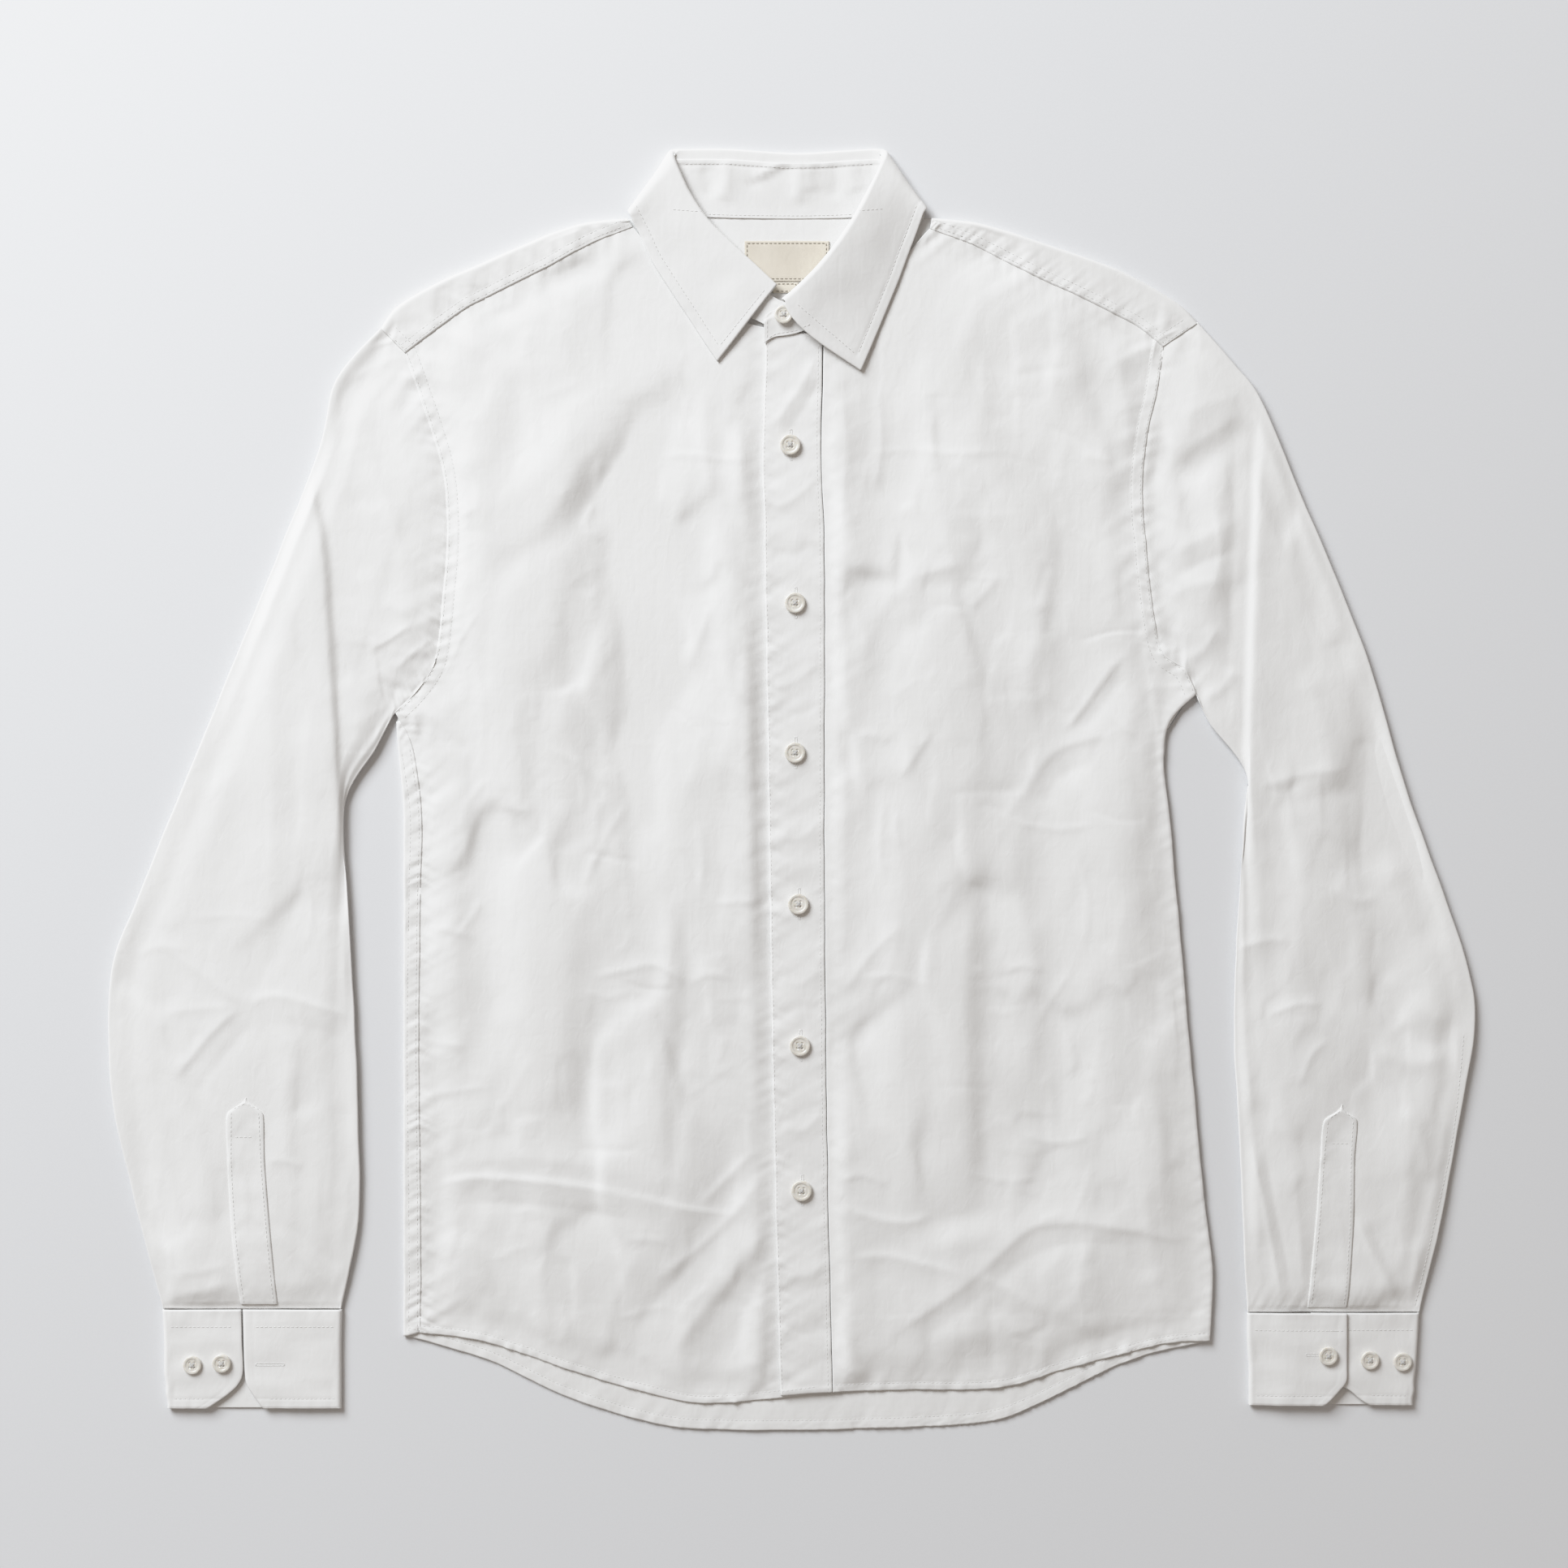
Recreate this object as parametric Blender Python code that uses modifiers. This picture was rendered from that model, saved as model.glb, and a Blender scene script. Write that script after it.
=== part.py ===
"""A white cotton dress shirt laid flat on its back, built from the pieces it is cut and sewn from.

Metres, +Z up. X runs to the viewer's right, Y towards the collar, and the origin is at the
bottom centre of the whole shirt. The tables are in millimetres and turned into metres by MM.
"""

import math
from collections import namedtuple

import bmesh
import bpy
from mathutils import Vector

MM = 0.001

# Cloth walls, in millimetres
WALL = 1.0
PLACKET_WALL = 1.5
CUFF_WALL = 1.5
BAND_WALL = 1.2
LABEL_WALL = 1.0

# Gaps between pieces: side by side at a seam, at the leaf's seam on the band, and lying on a panel
SEAM_GAP = 0.35
BAND_GAP = 0.8
LAY_GAP = 0.35

# Heights of upper faces above the surface the shirt lies on, in millimetres
FRONT_EDGE_TOP = 2.6
FRONT_RISE = 0.9
FRONT_LOWEST = 2.4
FRONT_HIGHEST = 5.6
PLACKET_TOP = FRONT_EDGE_TOP + LAY_GAP + PLACKET_WALL
BESIDE_PLACKET_RISE = 1.8
YOKE_FOLD_TOP = 4.2
YOKE_SEAM_TOP = 3.0
SIDE_STRIP_TOP = 3.4
SLEEVE_TOP_AT_ARMHOLE = 3.9
SLEEVE_TOP = 3.3
SLEEVE_LOWEST = 3.0
SLEEVE_HIGHEST = 5.7
CUFF_TOP = 4.4
CUFF_LAP_RISE = 2.0
COLLAR_BUTTON_BASE = 7.7

# Buttons, in millimetres: 20 ligne on the front, 18 ligne on the collar and the cuffs
FRONT_BUTTON_WIDTH = 12.7
SMALL_BUTTON_WIDTH = 11.4
BUTTON_THICK = 2.0
BUTTON_EDGE_HEIGHT = 0.8
BUTTON_BEVEL = 0.9
BUTTON_RIM_WIDTH = 1.9
BUTTON_DISH = 0.6
BUTTON_STEPS = 14

Point = namedtuple("Point", "x y")
Fold = namedtuple("Fold", "x0 y0 x1 y1 bow height width")

# Seam lines that two pieces share: both use these very points, in order
ARMHOLE_LEFT = [
    Point(-239, 268), Point(-229, 240), Point(-221, 216), Point(-215, 193), Point(-213, 170), Point(-213, 147),
    Point(-215, 124), Point(-217, 101), Point(-221, 78), Point(-232, 60), Point(-245, 47),
]
ARMHOLE_RIGHT = [
    Point(228, 272), Point(223, 241), Point(218, 219), Point(215, 196), Point(215, 173), Point(217, 150),
    Point(219, 128), Point(222, 106), Point(227, 84), Point(241, 73), Point(248, 58),
]
YOKE_SEAM_LEFT = [
    Point(-239, 268), Point(-222, 281), Point(-201, 296), Point(-172, 311), Point(-150, 322), Point(-124, 336),
    Point(-99, 346),
]
YOKE_SEAM_RIGHT = [
    Point(228, 272), Point(213, 284), Point(197, 293), Point(170, 306), Point(144, 318), Point(123, 329),
    Point(106, 337), Point(84, 345),
]
SHOULDER_LEFT = [
    Point(-254, 283), Point(-243, 297), Point(-217, 312), Point(-185, 326), Point(-153, 340), Point(-127, 348),
    Point(-102, 350.5),
]
SHOULDER_RIGHT = [
    Point(249, 286), Point(236, 299), Point(206, 316), Point(184, 325), Point(162, 333), Point(137, 341),
    Point(112, 348), Point(85, 351),
]

# Free edges and hidden seams, smoothed through these points
NECK_BACK = [
    Point(-102, 350.5), Point(-70, 352), Point(-20, 351.5), Point(20, 351.5), Point(60, 352), Point(85, 351),
]
NECK_LEFT = [
    Point(-99, 346), Point(-84, 328), Point(-64, 309), Point(-44, 294), Point(-20, 284), Point(14, 281),
]
NECK_RIGHT = [Point(19, 280), Point(33, 287), Point(49, 302), Point(65, 323), Point(84, 345)]
YOKE_BACK_SEAM = [Point(-239, 268), Point(-120, 262), Point(-5, 260), Point(110, 263), Point(228, 272)]
SIDE_LEFT = [
    Point(-230, -335), Point(-230, -264), Point(-231, -164), Point(-230, -64), Point(-229, -17), Point(-235, 25),
    Point(-245, 47),
]
SIDE_RIGHT = [
    Point(256, -340), Point(258, -300), Point(252, -245), Point(244, -159), Point(238, -90), Point(231, -14),
    Point(228, 14), Point(231, 40), Point(248, 58),
]
BACK_SIDE_LEFT = [
    Point(-240, -337), Point(-240, -272), Point(-240, -164), Point(-240, -64), Point(-240, -14), Point(-243, 20),
    Point(-245, 47),
]
FRONT_HEM_LEFT = [
    Point(-230, -335), Point(-191, -340), Point(-134, -359), Point(-82, -374), Point(-57, -378), Point(-29, -377),
    Point(16, -372),
]
FRONT_HEM_RIGHT = [
    Point(24, -371), Point(70, -370), Point(124, -369), Point(169, -357), Point(227, -342), Point(256, -340),
]
BACK_HEM = [
    Point(-240, -337), Point(-189, -352), Point(-142, -374), Point(-86, -391), Point(-38, -395), Point(44, -394),
    Point(117, -390), Point(152, -378), Point(207, -352), Point(256, -340),
]
BUTTON_STAND_EDGE = [Point(16, -372), Point(13, -164), Point(12, 36), Point(12, 200), Point(14, 281)]
PLACKET_EDGE_LEFT = [
    Point(-8, -373), Point(-11, -260), Point(-13, -164), Point(-16, 36), Point(-18, 160), Point(-19, 206),
    Point(-17, 274),
]
PLACKET_EDGE_RIGHT = [
    Point(24, -371), Point(21, -239), Point(19, -64), Point(19, 136), Point(17, 206), Point(18, 272),
]
SLEEVE_OUTER_LEFT = [
    Point(-254, 283), Point(-281, 251), Point(-292, 207), Point(-320, 136), Point(-361, 36), Point(-401, -62),
    Point(-418, -106), Point(-421, -150), Point(-418, -195), Point(-406, -249), Point(-388, -320),
]
SLEEVE_INNER_LEFT = [
    Point(-245, 47), Point(-257, 24), Point(-276, -10), Point(-274, -64), Point(-270, -134), Point(-267, -214),
    Point(-267, -264), Point(-273, -296), Point(-278, -320),
]
SLEEVE_OUTER_RIGHT = [
    Point(249, 286), Point(271, 261), Point(288, 238), Point(311, 183), Point(351, 86), Point(377, -1),
    Point(411, -97), Point(419, -140), Point(413, -184), Point(400, -256), Point(385, -322),
]
SLEEVE_INNER_RIGHT = [
    Point(248, 58), Point(256, 40), Point(279, 8), Point(277, -30), Point(272, -100), Point(271, -156),
    Point(274, -214), Point(276, -264), Point(279, -322),
]

# The largest folds: soft ridges, or troughs where the height is below zero
FOLDS_LEFT = [
    Fold(-82, 286, -190, 140, 10, 1.9, 26),
    Fold(-62, 272, -200, 108, 14, -1.7, 22),
    Fold(-164, 96, -158, -70, 0, -1.2, 20),
    Fold(-205, -20, -222, -170, 0, -1.0, 22),
    Fold(-106, 120, -102, -60, 0, -1.1, 18),
    Fold(-72, -60, -68, -185, 0, -1.2, 16),
    Fold(-84, -90, -82, -270, 0, 1.3, 12),
    Fold(-228, -262, -30, -266, 24, 1.5, 12),
    Fold(-17, -272, -74, -350, 0, 1.8, 14),
    Fold(-30, -262, -52, -358, 0, -1.2, 12),
    Fold(-140, 60, -132, -140, 0, 1.2, 22),
]
FOLDS_RIGHT = [
    Fold(104, 278, 204, 132, 8, -1.7, 24),
    Fold(150, 262, 214, 200, 0, 1.4, 18),
    Fold(40, 56, 118, 140, -26, 1.3, 16),
    Fold(165, 38, 206, 86, 0, 1.6, 9),
    Fold(66, 8, 90, 40, 0, 1.3, 10),
    Fold(144, -10, 196, 34, -8, 1.3, 12),
    Fold(108, -20, 110, -262, 0, 1.2, 13),
    Fold(140, -70, 146, -250, 0, -1.1, 16),
    Fold(28, -256, 108, -262, 4, 1.2, 10),
    Fold(34, -290, 108, -298, -4, 1.3, 10),
    Fold(52, -344, 240, -272, -22, 1.7, 14),
    Fold(112, -298, 158, -326, 0, 1.2, 10),
    Fold(48, -150, 60, 60, 0, -1.0, 20),
]
FOLDS_SLEEVE_LEFT = [
    Fold(-300, 240, -292, -8, -6, 2.3, 14),
    Fold(-313, 120, -308, -120, 0, 1.2, 16),
    Fold(-390, -95, -338, -134, 0, 1.4, 9),
    Fold(-338, -134, -384, -180, 0, 1.6, 10),
    Fold(-330, -132, -272, -144, 0, 1.1, 10),
    Fold(-270, 96, -222, 120, 0, 1.3, 12),
    Fold(-268, 250, -240, 262, 0, 1.2, 10),
    Fold(-318, -270, -286, -308, 0, 1.2, 9),
]
FOLDS_SLEEVE_RIGHT = [
    Fold(292, 230, 290, 0, 5, 2.3, 14),
    Fold(285, 0, 340, 12, 0, 1.1, 10),
    Fold(230, 140, 274, 168, 0, 1.3, 12),
    Fold(272, -100, 300, -92, 0, 1.1, 10),
    Fold(296, -140, 320, -128, 0, 1.1, 10),
    Fold(366, -120, 408, -175, 0, 1.5, 14),
    Fold(282, -214, 300, -318, 0, 1.3, 8),
    Fold(348, -262, 370, -314, 0, 1.2, 8),
    Fold(330, 20, 336, -150, 0, 1.0, 22),
]

# The collar, station by station from the left end round the back to the right end.
# x, y, z: middle of the roll. dx, dy: the way the leaf falls. turn: 0 leaf on top, 180 leaf beneath.
Station = namedtuple("Station", "x y z dx dy turn roll fall droop band sink")
COLLAR = [
    Station(-2, 303, 6.0, -0.20, -0.98, 0, 1.7, 0, 0, 23, 1.0),
    Station(-11, 308, 6.0, -0.61, -0.79, 0, 1.7, 58, 1.9, 32, 1.0),
    Station(-26, 322, 6.0, -0.72, -0.69, 0, 1.7, 51, 1.9, 36, 1.0),
    Station(-39, 334, 6.0, -0.79, -0.61, 0, 1.7, 46, 1.9, 38, 0.9),
    Station(-53, 348, 6.0, -0.82, -0.57, 0, 1.7, 41.5, 1.6, 38, 0.8),
    Station(-64, 364, 6.0, -0.80, -0.60, 0, 1.7, 38.5, 1.0, 38, 0.4),
    Station(-71, 379, 6.0, -0.70, -0.71, 0, 1.7, 40.5, 0.4, 38, 0.0),
    Station(-74, 385.5, 5.4, -0.63, -0.78, 45, 2.1, 42, 0.2, 38, 0.0),
    Station(-75, 389.5, 3.7, -0.56, -0.83, 90, 2.4, 43, 0, 38, 0),
    Station(-73, 391.5, 2.1, -0.45, -0.89, 135, 2.0, 40, 0, 39, 0),
    Station(-66, 392, 1.5, -0.25, -0.97, 180, 1.5, 37, 0, 40, 0.2),
    Station(-40, 392, 1.5, -0.08, -1.00, 180, 1.5, 37, 0, 41, 0.2),
    Station(0, 389.5, 1.5, 0.00, -1.00, 180, 1.5, 35, 0, 39, 0.2),
    Station(30, 391, 1.5, 0.10, -1.00, 180, 1.5, 36, 0, 40, 0.2),
    Station(47, 392, 1.5, 0.24, -0.97, 180, 1.5, 37, 0, 40, 0.2),
    Station(54, 391.5, 2.3, 0.42, -0.91, 135, 2.1, 39, 0, 39, 0),
    Station(56, 389.5, 4.0, 0.56, -0.83, 90, 2.5, 41, 0, 38, 0),
    Station(55.5, 385, 6.0, 0.64, -0.77, 45, 2.3, 39.5, 0.3, 38, 0),
    Station(53, 378, 7.2, 0.72, -0.69, 0, 1.9, 37, 1.1, 38, 0.0),
    Station(46, 363, 7.7, 0.80, -0.60, 0, 2.0, 37, 2.1, 36, 0.9),
    Station(38, 348, 7.8, 0.84, -0.54, 0, 2.0, 38.5, 2.6, 37, 1.3),
    Station(28, 333, 7.9, 0.86, -0.51, 0, 2.0, 42.5, 2.8, 37, 1.3),
    Station(16, 318, 8.1, 0.86, -0.51, 0, 2.1, 48, 3.2, 37, 1.2),
    Station(3, 305, 8.5, 0.81, -0.58, 0, 2.4, 56, 3.8, 33, 1.2),
    Station(-5, 298, 8.9, 0.75, -0.67, 0, 2.8, 62.5, 4.2, 29, 1.2),
    Station(-12, 299, 8.4, 0.10, -0.99, 0, 2.3, 0, 0, 23, 1.2),
    Station(-18, 294, 8.4, 0.10, -0.99, 0, 2.3, 0, 0, 14, 0.9),
]
COLLAR_LIP = 7.0
LEAF_FIRST, LEAF_LAST = 1, 24
COLLAR_SPLITS = 2

# The cuffs, row by row from the sleeve down: where the two ends of the strip stop
CuffRow = namedtuple("CuffRow", "y fold_left fold_right end_left end_right")
CUFF_LEFT = [
    CuffRow(-320.4, -388, -277.5, -339.4, -338.4),
    CuffRow(-340, -387, -278, -338.8, -337.8),
    CuffRow(-358, -387, -278, -338.2, -337.2),
    CuffRow(-366, -386, -278, -341.0, -336.0),
    CuffRow(-372, -386, -278, -347.0, -332.5),
    CuffRow(-377, -385, -278, -354.0, -329.0),
    CuffRow(-381, -385, -278, -360.0, -326.0),
]
CUFF_RIGHT = [
    CuffRow(-322.4, 279, 385, 340.0, 318),
    CuffRow(-340, 279, 384, 340.0, 320),
    CuffRow(-355, 280, 383, 340.0, 324),
    CuffRow(-364, 280, 382, 339.5, 332),
    CuffRow(-370, 280, 382, 335.0, 342),
    CuffRow(-375, 280, 381, 330.5, 348),
    CuffRow(-379, 280, 381, 326.0, 354),
]

# Sleeve plackets: a pointed strip on the sleeve, by its left and right edges
StripRow = namedtuple("StripRow", "y left right")
SLEEVE_PLACKET_LEFT = [
    StripRow(-190, -336.5, -335.5), StripRow(-197, -347, -326), StripRow(-230, -347, -324.5),
    StripRow(-267, -345, -321.5), StripRow(-295, -342, -319), StripRow(-317, -339.5, -317),
]
SLEEVE_PLACKET_RIGHT = [
    StripRow(-194, 336.5, 337.5), StripRow(-203, 326, 346), StripRow(-228, 323.5, 344.5),
    StripRow(-262, 321, 344), StripRow(-295, 318, 342), StripRow(-319, 316, 340),
]

# Buttons down the placket, then the small ones
PLACKET_BUTTONS = [Point(-2, 211), Point(1, 114), Point(1, 22), Point(3, -71), Point(4, -158), Point(5, -247)]
ButtonPlace = namedtuple("ButtonPlace", "name x y base width")
SMALL_BUTTONS = [
    ButtonPlace("button_collar", -6, 290.5, COLLAR_BUTTON_BASE, SMALL_BUTTON_WIDTH),
    ButtonPlace("button_cuff_left_1", -369, -354, CUFF_TOP + LAY_GAP, SMALL_BUTTON_WIDTH),
    ButtonPlace("button_cuff_left_2", -351, -353, CUFF_TOP + LAY_GAP, SMALL_BUTTON_WIDTH),
    ButtonPlace("button_cuff_right_1", 328, -348, CUFF_TOP + CUFF_LAP_RISE + LAY_GAP, SMALL_BUTTON_WIDTH),
    ButtonPlace("button_cuff_right_2", 354, -351, CUFF_TOP + LAY_GAP, SMALL_BUTTON_WIDTH),
    ButtonPlace("button_cuff_right_3", 374, -352, CUFF_TOP + LAY_GAP, SMALL_BUTTON_WIDTH),
]

# Labels on the yoke's inside, by their edges
LabelPlace = namedtuple("LabelPlace", "name left right low high")
LABELS = [LabelPlace("label_main", -30, 22, 312, 337), LabelPlace("label_small", -13, 3, 305, 311.5)]

# Grid sizes
SIDE_ROWS = 14
ROLLED_ROWS = 12
NECK_COLUMNS_LEFT = 9
NECK_COLUMNS_RIGHT = 8
BACK_COLUMNS = 13
YOKE_NECK_COLUMNS = 9
YOKE_ROWS = 5
PLACKET_ROWS = 22
SLEEVE_RINGS = 20
UNDERARM_POINTS = 2
CUFF_COLUMNS = 6
STRIP_COLUMNS = 2
BEND_STEPS = 4
CURVE_STEPS = 200
THREE_SHARES = (0.0, 0.5, 1.0)
LEAF_SHARES = (0.0, 0.35, 0.7, 1.0)

# How folds and rims ease in, in rows, columns, shares and millimetres
RIM_COLUMNS = 3
RIM_ROWS = 2
FOLD_END_SHARE = 0.3
ARMHOLE_SHARE = 0.15
CUFF_SHARE = 0.85
BUTTON_STAND_START = -22
BUTTON_STAND_EASE = 30
PLACKET_EASE_END = 60
PLACKET_EASE = 40
SHARP_ANGLE = math.radians(50)

# Colours and roughness of the finishes
Finish = namedtuple("Finish", "color roughness")
COTTON = Finish((0.86, 0.85, 0.83), 0.85)
BUTTON = Finish((0.72, 0.68, 0.60), 0.35)
LABEL = Finish((0.80, 0.76, 0.68), 0.80)


def clear_scene():
    """Remove what the scene holds."""
    for thing in list(bpy.data.objects):
        bpy.data.objects.remove(thing, do_unlink=True)


def make_material(name, finish):
    """A Principled material of one finish, named for its piece."""
    material = bpy.data.materials.new(name)
    material.use_nodes = True
    shader = material.node_tree.nodes["Principled BSDF"]
    shader.inputs["Base Color"].default_value = (*finish.color, 1.0)
    shader.inputs["Roughness"].default_value = finish.roughness
    shader.inputs["Metallic"].default_value = 0.0
    return material


def add_piece(name, mesh, finish):
    """Put a finished mesh in the shirt's collection as one named piece."""
    mesh.materials.append(make_material(name, finish))
    piece = bpy.data.objects.new(name, mesh)
    bpy.data.collections["dress_shirt"].objects.link(piece)
    return piece


def smooth(value):
    """Ease from 0 to 1 between 0 and 1."""
    t = min(max(value, 0.0), 1.0)
    return t * t * (3.0 - 2.0 * t)


def blend(a, b, t):
    """The value a share t of the way from a to b."""
    return a + (b - a) * t


def catmull(a, b, c, d, t):
    """Catmull-Rom value between b and c."""
    return 0.5 * (2 * b + (c - a) * t + (2 * a - 5 * b + 4 * c - d) * t * t + (3 * b - a - 3 * c + d) * t ** 3)


def through(rows, t):
    """A smooth row at share t of the way through a table, counted by rows."""
    place = min(max(t, 0.0), 1.0) * (len(rows) - 1)
    i = min(int(place), len(rows) - 2)
    a, b, c, d = rows[max(i - 1, 0)], rows[i], rows[i + 1], rows[min(i + 2, len(rows) - 1)]
    return type(b)(*[catmull(*values, place - i) for values in zip(a, b, c, d)])


def spaced(points, count):
    """count points at even steps along the smooth line through the given points."""
    fine = [through(points, k / CURVE_STEPS) for k in range(CURVE_STEPS + 1)]
    run = [0.0]
    for p, q in zip(fine, fine[1:]):
        run.append(run[-1] + math.dist(p, q))
    result = []
    for k in range(count):
        want = run[-1] * k / (count - 1)
        i = max(j for j in range(CURVE_STEPS) if j == 0 or run[j] <= want)
        share = (want - run[i]) / (run[i + 1] - run[i])
        result.append(Point(blend(fine[i].x, fine[i + 1].x, share), blend(fine[i].y, fine[i + 1].y, share)))
    return result


def patch(left, right, bottom, top, i, j):
    """A point inside four edges that are lists of points: column i, row j."""
    u, v = i / (len(bottom) - 1), j / (len(left) - 1)
    across = [blend(left[j][k], right[j][k], u) for k in (0, 1)]
    along = [blend(bottom[i][k], top[i][k], v) for k in (0, 1)]
    corners = [
        blend(blend(bottom[0][k], bottom[-1][k], u), blend(top[0][k], top[-1][k], u), v) for k in (0, 1)
    ]
    return Point(across[0] + along[0] - corners[0], across[1] + along[1] - corners[1])


def fold_height(x, y, folds):
    """How far the folds lift or lower the cloth at a place, in millimetres."""
    total = 0.0
    for fold in folds:
        run_x, run_y = fold.x1 - fold.x0, fold.y1 - fold.y0
        length = math.hypot(run_x, run_y)
        share = ((x - fold.x0) * run_x + (y - fold.y0) * run_y) / length ** 2
        if 0.0 < share < 1.0:
            aside = ((x - fold.x0) * run_y - (y - fold.y0) * run_x) / length - 4 * fold.bow * share * (1 - share)
            ends = smooth(share / FOLD_END_SHARE) * smooth((1 - share) / FOLD_END_SHARE)
            total += fold.height * ends * math.exp(-(aside / fold.width) ** 2)
    return total


def front_top(x, y, folds, edge):
    """Height of a front's upper face; edge is 0 on its rim and 1 well inside."""
    height = FRONT_EDGE_TOP + edge * (FRONT_RISE + fold_height(x, y, folds))
    return min(max(height, FRONT_LOWEST), FRONT_HIGHEST)


def sheet_mesh(name, rows, closed, flip):
    """An open surface through rows of points on a piece's outer face; None leaves a gap in the grid."""
    work = bmesh.new()
    grid = [[work.verts.new(Vector(p) * MM) if p else None for p in row] for row in rows]
    last = len(rows[0]) if closed else len(rows[0]) - 1
    for low, high in zip(grid, grid[1:]):
        for i in range(last):
            k = (i + 1) % len(low)
            corners = [low[i], low[k], high[k], high[i]]
            if all(corners):
                work.faces.new(reversed(corners) if flip else corners)
    mesh = bpy.data.meshes.new(name)
    work.to_mesh(mesh)
    work.free()
    mesh.shade_smooth()
    mesh.set_sharp_from_angle(angle=SHARP_ANGLE)
    return mesh


def add_cloth(name, rows, wall=WALL, closed=False, flip=False, finish=COTTON):
    """One cloth piece: an open surface through the rows, thickened inwards."""
    piece = add_piece(name, sheet_mesh(name, rows, closed, flip), finish)
    thick = piece.modifiers.new("thick", "SOLIDIFY")
    thick.thickness = wall * MM
    thick.offset = -1.0
    return piece


def inside(place, count, ease):
    """0 at either end of a row of places and 1 once ease steps inside it."""
    return smooth(min(place, count - 1 - place) / ease)


def panel_rows(left, right, bottom, top, height):
    """Rows of points over a panel; height gives the upper face from a place and its share inside the rim."""
    rows = []
    for j in range(len(left)):
        row = []
        for i in range(len(bottom)):
            p = patch(left, right, bottom, top, i, j)
            rim = inside(i, len(bottom), RIM_COLUMNS) * inside(j, len(left), RIM_ROWS)
            row.append((p.x, p.y, height(p, rim)))
        rows.append(row)
    return rows


def side_edge(side, armhole):
    """A body's edge from the hem up the side and round the armhole, whose points it uses as they are."""
    return spaced(side, SIDE_ROWS) + armhole[-2::-1]


def front_left_top(p, rim):
    """The left front's upper face: level under the placket, with its folds beyond."""
    return front_top(p.x, p.y, FOLDS_LEFT, rim * smooth((BUTTON_STAND_START - p.x) / BUTTON_STAND_EASE))


def front_right_top(p, rim):
    """The right front's upper face: level with the placket beside it."""
    raised = BESIDE_PLACKET_RISE * smooth((PLACKET_EASE_END - p.x) / PLACKET_EASE)
    return min(front_top(p.x, p.y, FOLDS_RIGHT, rim) + raised, FRONT_HIGHEST)


def add_front_left():
    """The wearer's right front, with its button stand under the placket."""
    left = side_edge(SIDE_LEFT, ARMHOLE_LEFT)
    right = spaced(BUTTON_STAND_EDGE, len(left))
    top = YOKE_SEAM_LEFT + spaced(NECK_LEFT, NECK_COLUMNS_LEFT)[1:]
    bottom = spaced(FRONT_HEM_LEFT, len(top))
    return add_cloth("front_left", panel_rows(left, right, bottom, top, front_left_top))


def add_front_right():
    """The wearer's left front, whose placket lies over the other front."""
    right = side_edge(SIDE_RIGHT, ARMHOLE_RIGHT)
    left = spaced([Point(p.x + SEAM_GAP, p.y) for p in PLACKET_EDGE_RIGHT[:-1]] + NECK_RIGHT[:1], len(right))
    top = spaced(NECK_RIGHT, NECK_COLUMNS_RIGHT)[:-1] + YOKE_SEAM_RIGHT[::-1]
    bottom = spaced(FRONT_HEM_RIGHT, len(top))
    return add_cloth("front_right", panel_rows(left, right, bottom, top, front_right_top))


def bend(height):
    """Offsets (out, up) round a half circle from the floor to a given height."""
    radius = height / 2
    angles = [math.pi * k / BEND_STEPS for k in range(BEND_STEPS + 1)]
    return [(radius * math.sin(a), radius - radius * math.cos(a)) for a in angles]


def add_back():
    """The back, flat on the floor, with its left side seam rolled onto the front."""
    left = side_edge(BACK_SIDE_LEFT, ARMHOLE_LEFT)
    right = side_edge(SIDE_RIGHT, ARMHOLE_RIGHT)
    bottom = spaced(BACK_HEM, BACK_COLUMNS)
    top = spaced(YOKE_BACK_SEAM, BACK_COLUMNS)
    radius = SIDE_STRIP_TOP / 2
    front_edge = spaced(SIDE_LEFT, SIDE_ROWS)
    rows = panel_rows(left, right, bottom, top, lambda p, rim: 0.0)
    for j, row in enumerate(rows):
        strip = [None] * (BEND_STEPS + 1)
        if j < ROLLED_ROWS:
            edge = row.pop(0)
            strip = [(front_edge[j].x - SEAM_GAP, edge[1], SIDE_STRIP_TOP)]
            strip += [(edge[0] + radius - out, edge[1], up) for out, up in reversed(bend(SIDE_STRIP_TOP))]
        row[:0] = strip
    return add_cloth("back", rows, flip=True)


def folded_over(edge, end, out, up):
    """A point on the yoke's fold: out from the bend's middle, towards the seam, and up."""
    away = Vector((end.x - edge.x, end.y - edge.y)).normalized()
    inset = YOKE_FOLD_TOP / 2 - out
    return (edge.x + away.x * inset, edge.y + away.y * inset, up)


def yoke_front_end(edge, end):
    """The yoke's sewn edge on the front, a seam gap short of the front."""
    away = Vector((end.x - edge.x, end.y - edge.y)).normalized()
    return (end.x - away.x * SEAM_GAP, end.y - away.y * SEAM_GAP, YOKE_SEAM_TOP)


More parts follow.
